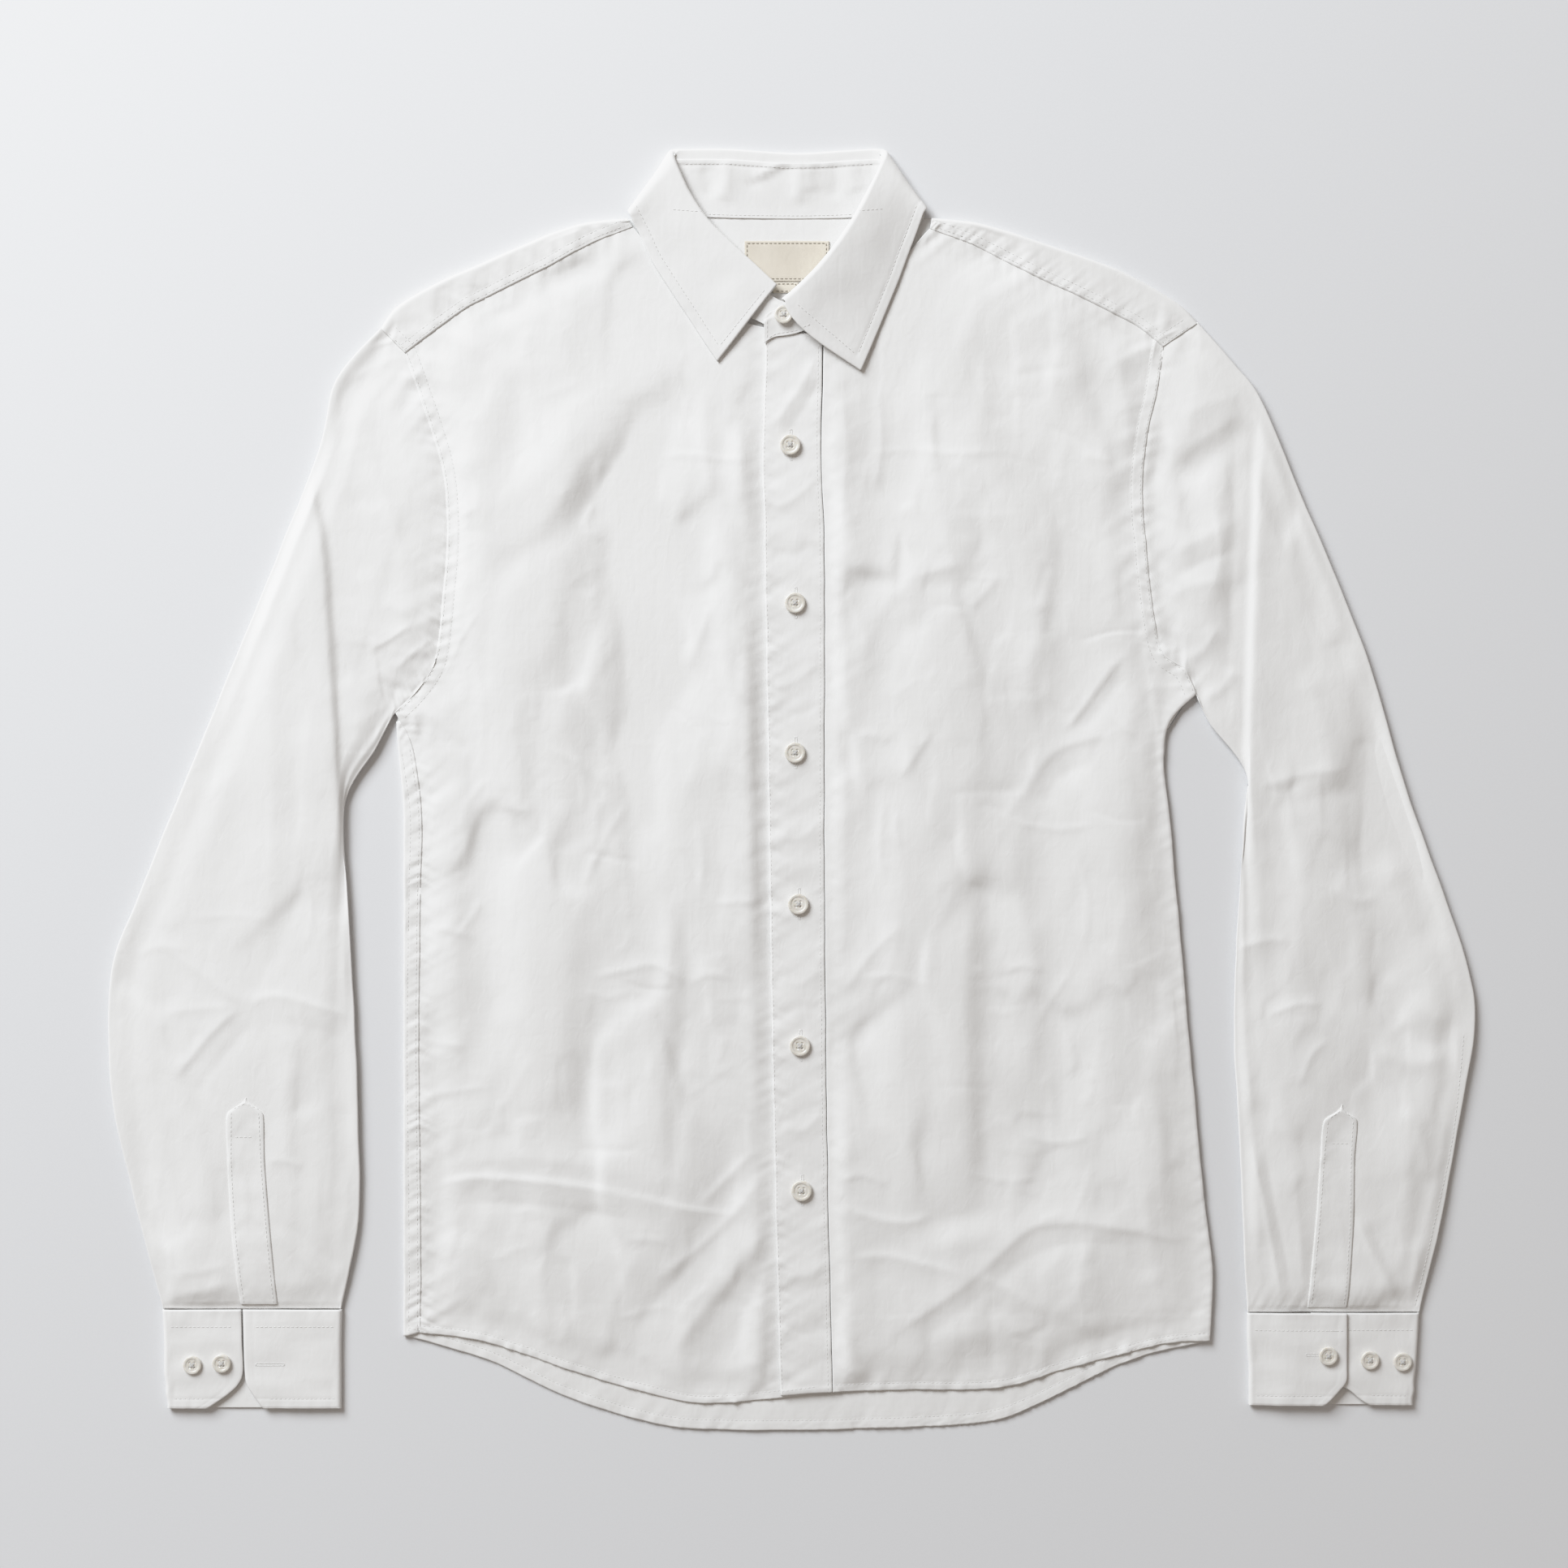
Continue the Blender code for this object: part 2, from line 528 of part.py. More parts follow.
def add_yoke():
    """The yoke: the back of the shoulders, folded over onto the front to its seam."""
    neck = spaced(NECK_BACK, YOKE_NECK_COLUMNS)[1:-1]
    top = SHOULDER_LEFT + neck + SHOULDER_RIGHT[::-1]
    seam = YOKE_SEAM_LEFT + [None] * len(neck) + YOKE_SEAM_RIGHT[::-1]
    bottom = [Point(p.x, p.y + SEAM_GAP) for p in spaced(YOKE_BACK_SEAM, len(top))]
    left = spaced([bottom[0], top[0]], YOKE_ROWS)
    right = spaced([bottom[-1], top[-1]], YOKE_ROWS)
    rows = panel_rows(left, right, bottom, top, lambda p, rim: 0.0)[:-1]
    rows.append([folded_over(e, s, 0.0, 0.0) if s else (e.x, e.y, 0.0) for e, s in zip(top, seam)])
    for out, up in bend(YOKE_FOLD_TOP)[1:]:
        rows.append([folded_over(e, s, out, up) if s else None for e, s in zip(top, seam)])
    rows.append([yoke_front_end(e, s) if s else None for e, s in zip(top, seam)])
    return add_cloth("yoke", rows, flip=True)


def add_placket():
    """The front placket, on the button stand."""
    edges = zip(spaced(PLACKET_EDGE_LEFT, PLACKET_ROWS), spaced(PLACKET_EDGE_RIGHT, PLACKET_ROWS))
    rows = [[(blend(a.x, b.x, u), blend(a.y, b.y, u), PLACKET_TOP) for u in THREE_SHARES] for a, b in edges]
    return add_cloth("placket", rows, wall=PLACKET_WALL)


def armhole_line(tip, armhole, outward):
    """The sleeve's edge of the armhole: the body's own points, moved a seam gap outwards."""
    line = [tip] + armhole
    moved = []
    for i, p in enumerate(line):
        before, after = line[max(i - 1, 0)], line[min(i + 1, len(line) - 1)]
        along = Vector((after.x - before.x, after.y - before.y)).normalized()
        side = Vector((along.y, -along.x)) * outward
        moved.append(Point(p.x + side.x * SEAM_GAP, p.y + side.y * SEAM_GAP))
    return moved


def sleeve_edge_top(down):
    """Height of a sleeve's fold edges, a share down of the way from armhole to cuff."""
    return blend(SLEEVE_TOP_AT_ARMHOLE, SLEEVE_TOP, smooth(down / ARMHOLE_SHARE))


def sleeve_top(x, y, down, folds):
    """Height of a sleeve's upper face, a share down of the way from armhole to cuff."""
    flat = smooth((down - CUFF_SHARE) / (1 - CUFF_SHARE))
    height = sleeve_edge_top(down) + fold_height(x, y, folds) * (1 - flat)
    return min(max(height, SLEEVE_LOWEST), SLEEVE_HIGHEST)


def sleeve_ring(line, down, folds):
    """One ring round a flattened sleeve: up over the line of points and back beneath it."""
    height = sleeve_edge_top(down)
    radius = height / 2
    slant = radius * math.sqrt(0.5)
    start, finish = Vector(line[0]), Vector(line[-1])
    first = (Vector(line[1]) - start).normalized()
    last = (Vector(line[-2]) - finish).normalized()
    near, far = start + first * radius, finish + last * radius
    near_edge, far_edge = start + first * (radius - slant), finish + last * (radius - slant)
    between = range(1, len(line) - 1)
    upper = []
    for i in between:
        top = sleeve_top(line[i].x, line[i].y, down, folds)
        upper.append((*line[i], blend(height, top, inside(i, len(line), RIM_ROWS))))
    lower = [(*line[i], 0.0) for i in reversed(between)]
    over = [(*near_edge, radius + slant), (*near, height)] + upper + [(*far, height), (*far_edge, radius + slant)]
    under = [(*far_edge, radius - slant), (*far, 0.0)] + lower + [(*near, 0.0), (*near_edge, radius - slant)]
    return [(*start, radius)] + over + [(*finish, radius)] + under


def add_sleeve(name, tip, armhole, outer, inner, folds, outward):
    """A flattened sleeve from the armhole to the cuff, open at both ends."""
    seam = armhole_line(tip, armhole, outward)
    top, under = seam[:-UNDERARM_POINTS], seam[-UNDERARM_POINTS - 1:]
    count = len(top)
    outer_line = [top[0]] + spaced(outer, SLEEVE_RINGS)[1:]
    inner_line = under + spaced(inner, SLEEVE_RINGS - UNDERARM_POINTS)[1:]
    bottom = spaced([outer_line[-1], inner_line[-1]], count)
    rings = []
    for j in range(SLEEVE_RINGS):
        line = [patch(outer_line, inner_line, top, bottom, i, j) for i in range(count)]
        rings.append(sleeve_ring(line, j / (SLEEVE_RINGS - 1), folds))
    return add_cloth(name, rings, closed=True, flip=outward > 0)


def cuff_section(row, lap_rise):
    """One row round a cuff, from the end of its left part round beneath to the end of its right part."""
    radius = CUFF_TOP / 2
    shares = [k / CUFF_COLUMNS for k in range(CUFF_COLUMNS + 1)]
    round_bend = bend(CUFF_TOP)[:-1]
    left_part = [
        (blend(row.end_left, row.fold_left + radius, u), row.y, CUFF_TOP + lap_rise * smooth(2 * (1 - u)))
        for u in shares
    ]
    left_fold = [(row.fold_left + radius - out, row.y, up) for out, up in reversed(round_bend)]
    right_fold = [(row.fold_right - radius + out, row.y, up) for out, up in round_bend]
    right_part = [(blend(row.fold_right - radius, row.end_right, u), row.y, CUFF_TOP) for u in shares]
    return left_part + left_fold + right_fold + right_part


def add_cuff(name, rows, lap_rise):
    """A cuff: one strip bent flat round the wrist opening."""
    return add_cloth(name, [cuff_section(row, lap_rise) for row in rows], wall=CUFF_WALL)


def add_sleeve_placket(name, rows, outer, folds):
    """The pointed strip that binds the sleeve's slit, laid on the sleeve's upper face."""
    start, end = outer[0].y, outer[-1].y
    grid = []
    for row in rows:
        line = []
        for k in range(STRIP_COLUMNS + 1):
            x = blend(row.left, row.right, k / STRIP_COLUMNS)
            top = sleeve_top(x, row.y, (start - row.y) / (start - end), folds)
            line.append((x, row.y, top + LAY_GAP + WALL))
        grid.append(line)
    return add_cloth(name, grid, flip=True)


def collar_frames(stations):
    """Roll centre, fall direction, leaf-side direction and sizes at each station and between them."""
    steps = (len(stations) - 1) * COLLAR_SPLITS
    frames = []
    for k in range(steps + 1):
        row = through(stations, k / steps)
        fall = Vector((row.dx, row.dy, 0.0)).normalized()
        side = Vector((fall.y, -fall.x, 0.0)) if 2 * k < steps else Vector((-fall.y, fall.x, 0.0))
        turn = math.radians(min(max(row.turn, 0.0), 180.0))
        outward = Vector((0.0, 0.0, 1.0)) * math.cos(turn) + side * math.sin(turn)
        frames.append((Vector((row.x, row.y, row.z)), fall, outward, row))
    return frames


def add_collar_leaf():
    """The collar leaf: sewn to the band, rolled over and fallen, outer face outwards."""
    rows = []
    for centre, fall, outward, row in collar_frames(COLLAR[LEAF_FIRST:LEAF_LAST + 1]):
        line = [centre + fall * share - outward * row.roll for share in (COLLAR_LIP, 0.0)]
        for k in range(1, BEND_STEPS):
            angle = math.pi * k / BEND_STEPS
            line.append(centre - fall * (row.roll * math.sin(angle)) - outward * (row.roll * math.cos(angle)))
        for share in LEAF_SHARES:
            drop = Vector((0.0, 0.0, -row.droop * smooth(share)))
            line.append(centre + fall * (row.fall * share) + outward * row.roll + drop)
        rows.append([(p.x, p.y, max(p.z, 0.0)) for p in line])
    return add_cloth("collar_leaf", rows, flip=True)


def add_collar_band():
    """The collar band, from the leaf's sewn edge to the neck seam."""
    rows = []
    for centre, fall, outward, row in collar_frames(COLLAR):
        line = []
        for share in THREE_SHARES:
            reach = blend(COLLAR_LIP + BAND_GAP, row.band, share)
            line.append(tuple(centre + fall * reach - outward * (row.roll + row.sink * share)))
        rows.append(line)
    return add_cloth("collar_band", rows, wall=BAND_WALL)


def button_mesh(name, width):
    """A flat sewn button with a raised rim and a dished middle, as a turned profile."""
    radius = width / 2
    dish = BUTTON_THICK - BUTTON_DISH
    profile = [
        (0.0, 0.0), (radius - BUTTON_BEVEL, 0.0), (radius, BUTTON_EDGE_HEIGHT), (radius, dish),
        (radius - BUTTON_BEVEL, BUTTON_THICK), (radius - BUTTON_RIM_WIDTH, dish), (0.0, dish),
    ]
    work = bmesh.new()
    verts = [work.verts.new((x * MM, 0.0, z * MM)) for x, z in profile]
    edges = [work.edges.new(pair) for pair in zip(verts, verts[1:])]
    bmesh.ops.spin(
        work, geom=verts + edges, axis=(0, 0, 1), cent=(0, 0, 0), angle=math.tau, steps=BUTTON_STEPS,
        use_merge=True,
    )
    bmesh.ops.remove_doubles(work, verts=work.verts, dist=0.001 * MM)
    bmesh.ops.recalc_face_normals(work, faces=work.faces)
    mesh = bpy.data.meshes.new(name)
    work.to_mesh(mesh)
    work.free()
    mesh.shade_smooth()
    mesh.set_sharp_from_angle(angle=SHARP_ANGLE)
    return mesh


def add_button(place):
    """One sewn-on button, lying on its cloth."""
    piece = add_piece(place.name, button_mesh(place.name, place.width), BUTTON)
    piece.location = (place.x * MM, place.y * MM, place.base * MM)


def add_label(place):
    """A bare woven label on the yoke's inside."""
    base = WALL + LAY_GAP
    bpy.ops.mesh.primitive_cube_add(size=1.0)
    cube = bpy.context.object
    mesh = cube.data
    mesh.name = place.name
    bpy.data.objects.remove(cube)
    for vert in mesh.vertices:
        vert.co.x = (place.left if vert.co.x < 0 else place.right) * MM
        vert.co.y = (place.low if vert.co.y < 0 else place.high) * MM
        vert.co.z = (base if vert.co.z < 0 else base + LABEL_WALL) * MM
    return add_piece(place.name, mesh, LABEL)


def build():
    """Build every piece of the shirt."""
    clear_scene()
    shirt = bpy.data.collections.new("dress_shirt")
    bpy.context.scene.collection.children.link(shirt)
    add_back()
    add_yoke()
    add_front_left()
    add_front_right()
    add_placket()
    left = (SHOULDER_LEFT[0], ARMHOLE_LEFT, SLEEVE_OUTER_LEFT, SLEEVE_INNER_LEFT, FOLDS_SLEEVE_LEFT)
    right = (SHOULDER_RIGHT[0], ARMHOLE_RIGHT, SLEEVE_OUTER_RIGHT, SLEEVE_INNER_RIGHT, FOLDS_SLEEVE_RIGHT)
    add_sleeve("sleeve_left", *left, outward=1)
    add_sleeve("sleeve_right", *right, outward=-1)
    add_cuff("cuff_left", CUFF_LEFT, 0.0)
    add_cuff("cuff_right", CUFF_RIGHT, CUFF_LAP_RISE)
    add_sleeve_placket("sleeve_placket_left", SLEEVE_PLACKET_LEFT, SLEEVE_OUTER_LEFT, FOLDS_SLEEVE_LEFT)
    add_sleeve_placket("sleeve_placket_right", SLEEVE_PLACKET_RIGHT, SLEEVE_OUTER_RIGHT, FOLDS_SLEEVE_RIGHT)
    add_collar_leaf()
    add_collar_band()
    for number, p in enumerate(PLACKET_BUTTONS, start=1):
        add_button(ButtonPlace(f"button_front_{number}", p.x, p.y, PLACKET_TOP + LAY_GAP, FRONT_BUTTON_WIDTH))
    for place in SMALL_BUTTONS:
        add_button(place)
    for place in LABELS:
        add_label(place)


build()
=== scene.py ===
"""Looks of a white cotton dress shirt laid flat on its back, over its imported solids.

Metres, +Z up, in the frame of the solids. The tables are in millimetres and turned into metres by MM.
Left and right are the viewer's, seen from above.
"""

import math
from collections import namedtuple

import bpy
import numpy as np
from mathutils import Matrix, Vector
from mathutils.bvhtree import BVHTree


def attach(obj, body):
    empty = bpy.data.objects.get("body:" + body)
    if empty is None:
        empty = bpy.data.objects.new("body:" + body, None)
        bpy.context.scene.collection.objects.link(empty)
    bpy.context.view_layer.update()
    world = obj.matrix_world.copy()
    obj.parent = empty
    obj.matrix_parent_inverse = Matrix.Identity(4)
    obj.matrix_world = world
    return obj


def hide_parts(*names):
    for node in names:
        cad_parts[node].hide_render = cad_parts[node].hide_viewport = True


MM = 0.001
UP = np.array([0.0, 0.0, 1.0])
DOWN = Vector((0, 0, -1))

# Cloth walls and gaps, in millimetres
SHELL_WALL = 0.6
PLACKET_WALL = 0.8
CUFF_WALL = 1.2
COLLAR_WALL = 0.7
STRIP_WALL = 0.65
LABEL_WALL = 0.4
PLACKET_GAP = 0.3
BAND_LAP = 1.6
# How far one side of a seam reaches under the other, and how much lower it lies there
TUCK = 0.8
SEAM_STEP = 0.2

# Grid steps, in millimetres: inside a panel and near its rim, and along lines that distances are taken from
STEP = 2.1
FINE_STEP = 0.75
FINE_RIM = 9.0
LINE_STEP = 3.0
# Length that the grids of the fronts and back are counted over, in millimetres
BODY_LENGTH = 620
# Points worked out for each row of a table before a line is cut to its step
CURVE_POINTS = 24
# Points that near() takes at once
BATCH = 4000

# Heights of upper faces above the floor, in millimetres
FLOOR_GAP = 0.05
FRONT_EDGE_TOP = 2.6
FRONT_RISE = 2.3
FRONT_LOW, FRONT_HIGH = 2.0, 8.2
HEM_DROP = 0.1
SIDE_LIFT = 1.3
SIDE_LIFT_REACH = 20.0
ARMHOLE_TOP = 3.5
BESIDE_PLACKET_TOP = 4.35
PLACKET_TOP = 4.3
YOKE_INSIDE_TOP = 1.0
YOKE_SEAM_TOP = 3.1
YOKE_FOLD_TOP = 4.2
SIDE_STRIP_TOP = 2.7
BACK_TOP = 0.9
BACK_LOW, BACK_HIGH = 0.75, 2.1
SLEEVE_EDGE = 1.9
SLEEVE_TOP = 3.3
SLEEVE_LOW, SLEEVE_HIGH = 1.7, 10.5
SLEEVE_RISE = 2.2
SLEEVE_LIFT = 3.7
CUFF_TUCK = 2.2
CUFF_MIDDLE = 2.3
CUFF_TOP = 4.4
CUFF_LAP_RISE = 2.0
STRIP_RISE = 0.7
LABEL_TOP = 1.95

# Sewing, in millimetres
STITCH_LENGTH = 2.0
STITCH_PITCH = 2.7
STITCH_LIFT = 0.06
THREAD_RADIUS = 0.16
LABEL_THREAD_RADIUS = 0.3
# Stitches and buttonhole bars steeper than this from end to end lie on two pieces and are left out
STITCH_CLIMB = 1.2
BAR_CLIMB = 0.8
# Buttonholes: bars along the slit, and how near to it and how far from it they reach
BAR_PITCH = 0.42
BAR_NEAR, BAR_FAR = 0.25, 1.1
BAR_RADIUS = 0.17
FELL_WIDTH = 7.0
YOKE_STITCH = 5.0
SIDE_STRIP = 6.5
# First row of stitches beside a seam
EDGE_STITCH = 1.4
FRONT_HEM = 4.5
BACK_HEM_WIDTH = 6.0
CUFF_TOP_STITCH = 10.5
CUFF_EDGE_STITCH = 6.0
STRIP_STITCH = 2.2
STRIP_BAR = 24.0
COLLAR_MARGIN = 6.3
BAND_STITCH = 2.0
GROOVE_WIDTH = 0.9

# Creases: how much deeper they are than in their tables, and the shares of them that fade at an end
CREASE_RELIEF = 1.05
CREASE_END = 0.22
FOLD_END = 0.16
# Width of the sharp side of a long fold, in millimetres
FOLD_EDGE = 2.4
# Depth of the band's creases against others, and how far up the shirt they start
BAND_RELIEF = 1.5
BAND_CREASES_FROM = 354

# Buttons, in millimetres
BUTTON_THICK = 2.0
BUTTON_DISH = 0.35
BUTTON_RIM = 2.4
HOLE_OFFSET = 1.45
HOLE_RADIUS = 0.5
HOLE_DEPTH = 0.4
BUTTON_THREAD_RADIUS = 0.24

# Camera: its height and the width it sees in metres, its sensor and the middle of what it sees in millimetres
CAMERA_HEIGHT = 1.6
SENSOR = 36.0
FRAME_WIDTH = 0.966
FRAME_MIDDLE = (-5.75, 2.75)

# Light, in metres and watts, and the floor, in millimetres
KEY_PLACE = (-2.05, 2.5, 2.28)
KEY_WIDTH = 2.1
KEY_POWER = 191.0
KEY_COLOR = (0.90, 0.95, 1.0)
ROOM_COLOR = (1.0, 0.89, 0.80)
ROOM_STRENGTH = 0.27
FLOOR_REACH = 4000.0
FLOOR_TOP = -0.2

# Brightness in and out, dark to light
TONES = [(0.0, 0.0), (0.7, 0.7), (0.85, 0.825), (1.0, 0.9), (1.3, 0.95), (2.0, 0.97)]

# Colours
COTTON = (0.865, 0.858, 0.842), (0.895, 0.888, 0.873)
LABEL = (0.71, 0.65, 0.55), (0.81, 0.755, 0.66)
PEARL = (0.72, 0.68, 0.60), (0.87, 0.84, 0.78)
PAPER = (0.800, 0.803, 0.812), (0.812, 0.815, 0.824)
THREAD_COLOR = (0.80, 0.79, 0.77)
LABEL_THREAD_COLOR = (0.33, 0.29, 0.23)

# A soft ridge, or a trough where its height is below 0; lean says which side is steep
Crease = namedtuple("Crease", "height width lean path")
# Cloth lying over itself: how far the higher side and the dip beyond it reach
Fold = namedtuple("Fold", "height high low path")
# Sewing along a line: a strip's width and rise, and the height, reach and wave size of its puckers
Seam = namedtuple("Seam", "line strip rise pucker reach seed size")


def on_path(kind, rows):
    """Creases or folds from rows of three sizes and then x, y of each point along them."""
    return [kind(*row[:3], list(zip(row[3::2], row[4::2]))) for row in rows]


# Outlines and seam lines of the flat shirt, smoothed through these points (x, y)
ARMHOLE_LEFT = [
    (-239, 268), (-229, 240), (-221, 216), (-215, 193), (-213, 170), (-213, 147), (-215, 124), (-217, 101),
    (-221, 78), (-232, 60), (-245, 47),
]
ARMHOLE_RIGHT = [
    (228, 272), (223, 241), (218, 219), (215, 196), (215, 173), (217, 150), (219, 128), (222, 106),
    (227, 84), (241, 73), (248, 58),
]
YOKE_SEAM_LEFT = [(-239, 268), (-222, 281), (-201, 296), (-172, 311), (-150, 322), (-124, 336), (-99, 346)]
YOKE_SEAM_RIGHT = [
    (228, 272), (213, 284), (197, 293), (170, 306), (144, 318), (123, 329), (106, 337), (84, 345),
]
SHOULDER_LEFT = [(-254, 283), (-243, 297), (-217, 312), (-185, 326), (-153, 340), (-127, 348), (-102, 350.5)]
SHOULDER_RIGHT = [
    (249, 286), (236, 299), (206, 316), (184, 325), (162, 333), (137, 341), (112, 348), (85, 351),
]
NECK_BACK = [(-102, 350.5), (-70, 352), (-20, 351.5), (20, 351.5), (60, 352), (85, 351)]
NECK_LEFT = [(-99, 346), (-84, 328), (-64, 309), (-44, 294), (-20, 284), (14, 281)]
NECK_RIGHT = [(19, 280), (33, 287), (49, 302), (65, 323), (84, 345)]
YOKE_BACK_SEAM = [(-239, 268), (-120, 262), (-5, 260), (110, 263), (228, 272)]
SIDE_LEFT = [(-230, -335), (-230, -264), (-231, -164), (-230, -64), (-229, -17), (-235, 25), (-245, 47)]
SIDE_RIGHT = [
    (256, -340), (258, -300), (252, -245), (244, -159), (238, -90), (231, -14), (228, 14), (231, 40),
    (248, 58),
]
BACK_SIDE_LEFT = [(-240, -337), (-240, -272), (-240, -164), (-240, -64), (-240, -14), (-243, 20), (-245, 47)]
FRONT_HEM_LEFT = [(-230, -335), (-191, -340), (-134, -359), (-82, -374), (-57, -378), (-29, -377), (16, -372)]
FRONT_HEM_RIGHT = [(24, -371), (70, -370), (124, -369), (169, -357), (227, -342), (256, -340)]
BACK_HEM = [
    (-240, -337), (-189, -352), (-142, -374), (-86, -391), (-38, -395), (44, -394), (117, -390),
    (152, -378), (207, -352), (256, -340),
]
BUTTON_STAND_EDGE = [(16, -372), (13, -164), (12, 36), (12, 200), (14, 281)]
PLACKET_EDGE_LEFT = [
    (-8, -373), (-11, -260), (-13, -164), (-16, 36), (-18, 160), (-19, 206), (-17, 274), (-17, 280)
]
PLACKET_EDGE_RIGHT = [(24, -371), (21, -239), (19, -64), (19, 136), (17, 206), (18, 272), (18, 279)]
SLEEVE_OUTER_LEFT = [
    (-254, 283), (-281, 251), (-292, 207), (-320, 136), (-361, 36), (-401, -62), (-418, -106), (-421, -150),
    (-418, -195), (-406, -249), (-388, -320),
]
SLEEVE_INNER_LEFT = [
    (-245, 47), (-257, 24), (-276, -10), (-274, -64), (-270, -134), (-267, -214), (-267, -264),
    (-273, -296), (-278, -320),
]
SLEEVE_OUTER_RIGHT = [
    (249, 286), (271, 261), (288, 238), (311, 183), (351, 86), (377, -1), (411, -97), (419, -140),
    (413, -184), (400, -256), (385, -322),
]
SLEEVE_INNER_RIGHT = [
    (248, 58), (256, 40), (279, 8), (277, -30), (272, -100), (271, -156), (274, -214), (276, -264),
    (279, -322),
]

# The collar, station by station from the left end round the back to the right end.
# x, y, z: middle of the roll. dx, dy: the way the leaf falls. turn: 0 leaf on top, 180 leaf beneath.
Station = namedtuple("Station", "x y z dx dy turn roll fall droop band sink")
COLLAR = [Station(*row) for row in (
    (-2, 303, 6.0, -0.20, -0.98, 0, 1.7, 0, 0, 23, 1.0),
    (-11, 308, 6.0, -0.61, -0.79, 0, 1.7, 58, 2.9, 24, 1.0),
    (-26, 322, 6.0, -0.72, -0.69, 0, 1.7, 51, 3.0, 36, 1.4),
    (-39, 334, 6.0, -0.79, -0.61, 0, 1.7, 46, 3.0, 38, 1.7),
    (-53, 348, 6.0, -0.82, -0.57, 0, 1.7, 41.5, 2.7, 38, 1.6),
    (-64, 364, 6.0, -0.80, -0.60, 0, 1.7, 38.5, 1.9, 38, 1.0),
    (-71, 379, 6.0, -0.70, -0.71, 0, 1.7, 40.5, 0.4, 38, 0.0),
    (-74, 385.5, 5.4, -0.63, -0.78, 45, 2.1, 42, 0.2, 38, 0.0),
    (-75, 389.5, 3.7, -0.56, -0.83, 90, 2.4, 43, 0, 38, 0),
    (-73, 391.5, 2.1, -0.45, -0.89, 135, 2.0, 40, 0, 39, 0),
    (-66, 392, 1.5, -0.25, -0.97, 180, 1.5, 37, 0, 40, -1.5),
    (-40, 392, 1.5, -0.08, -1.00, 180, 1.5, 37, 0, 41, -1.5),
    (0, 389.5, 1.5, 0.00, -1.00, 180, 1.5, 35, 0, 39, -1.5),
    (30, 391, 1.5, 0.10, -1.00, 180, 1.5, 36, 0, 40, -1.5),
    (47, 392, 1.5, 0.24, -0.97, 180, 1.5, 37, 0, 40, -1.5),
    (54, 391.5, 2.3, 0.42, -0.91, 135, 2.1, 39, 0, 39, 0),
    (56, 389.5, 4.0, 0.56, -0.83, 90, 2.5, 41, 0, 38, 0),
    (55.5, 385, 6.0, 0.64, -0.77, 45, 2.3, 39.5, 0.4, 38, 0),
    (53, 378, 7.2, 0.72, -0.69, 0, 1.9, 37, 1.7, 38, 0.6),
    (46, 363, 8.5, 0.80, -0.60, 0, 2.4, 37, 5.4, 36, 2.1),
    (38, 348, 9.1, 0.84, -0.54, 0, 2.6, 38.5, 6.8, 37, 2.7),
    (28, 333, 9.4, 0.86, -0.51, 0, 2.7, 42.5, 7.4, 37, 2.8),
    (16, 318, 9.5, 0.86, -0.51, 0, 2.8, 48, 7.6, 37, 2.6),
    (3, 305, 9.7, 0.81, -0.58, 0, 2.9, 56, 7.2, 28, 2.2),
    (-5, 298, 9.7, 0.75, -0.67, 0, 3.0, 62.5, 6.4, 22, 1.7),
    (-12, 299, 8.4, 0.12, -0.99, 0, 2.3, 0, 0, 21.5, 1.2),
    (-18, 295, 8.4, 0.00, -1.00, 0, 2.3, 0, 0, 21.5, 0.9),
)]
# Frames from one station to the next; then, in millimetres, how far the leaf's inner side reaches down
# from its roll, and how far the right leaf's front edge bows
COLLAR_FRAMES = 12
COLLAR_LIP = 7.0
FRONT_BOW = 5.4
# The stations of the leaf, of the band's buttoned end and of the back of the neck
LEAF = COLLAR[1:25]
BAND_TAB = COLLAR[24:]
NAPE = COLLAR[10:15]

# The cuffs, row by row from the sleeve down: where the two ends of the strip stop
CuffRow = namedtuple("CuffRow", "y fold_left fold_right end_left end_right")
CUFF_LEFT = [CuffRow(*row) for row in (
    (-320.4, -388, -277.5, -339.4, -338.4),
    (-340, -387, -278, -338.8, -337.8),
    (-358, -387, -278, -338.2, -337.2),
    (-366, -386, -278, -341.0, -336.0),
    (-372, -386, -278, -347.0, -332.5),
    (-377, -385, -278, -354.0, -329.0),
    (-381, -385, -278, -360.0, -326.0),
)]
CUFF_RIGHT = [CuffRow(*row) for row in (
    (-322.4, 279, 385, 340.0, 318),
    (-340, 279, 384, 340.0, 320),
    (-355, 280, 383, 340.0, 324),
    (-364, 280, 382, 339.5, 332),
    (-370, 280, 382, 335.0, 342),
    (-375, 280, 381, 330.5, 348),
    (-379, 280, 381, 326.0, 354),
)]

# Sleeve plackets: a pointed strip on the sleeve, by its left and right edges
StripRow = namedtuple("StripRow", "y left right")
SLEEVE_PLACKET_LEFT = [
    StripRow(-190, -336.5, -335.5), StripRow(-197, -347, -326), StripRow(-230, -347, -324.5),
    StripRow(-267, -345, -321.5), StripRow(-295, -342, -319), StripRow(-317, -339.5, -317),
]
SLEEVE_PLACKET_RIGHT = [
    StripRow(-194, 336.5, 337.5), StripRow(-203, 326, 346), StripRow(-228, 323.5, 344.5),
    StripRow(-262, 321, 344), StripRow(-295, 318, 342), StripRow(-319, 316, 340),
]
# A crease on the right sleeve that is stitched down
SLEEVE_TUCK = [(412, -150), (405, -215), (393, -270), (382, -319)]

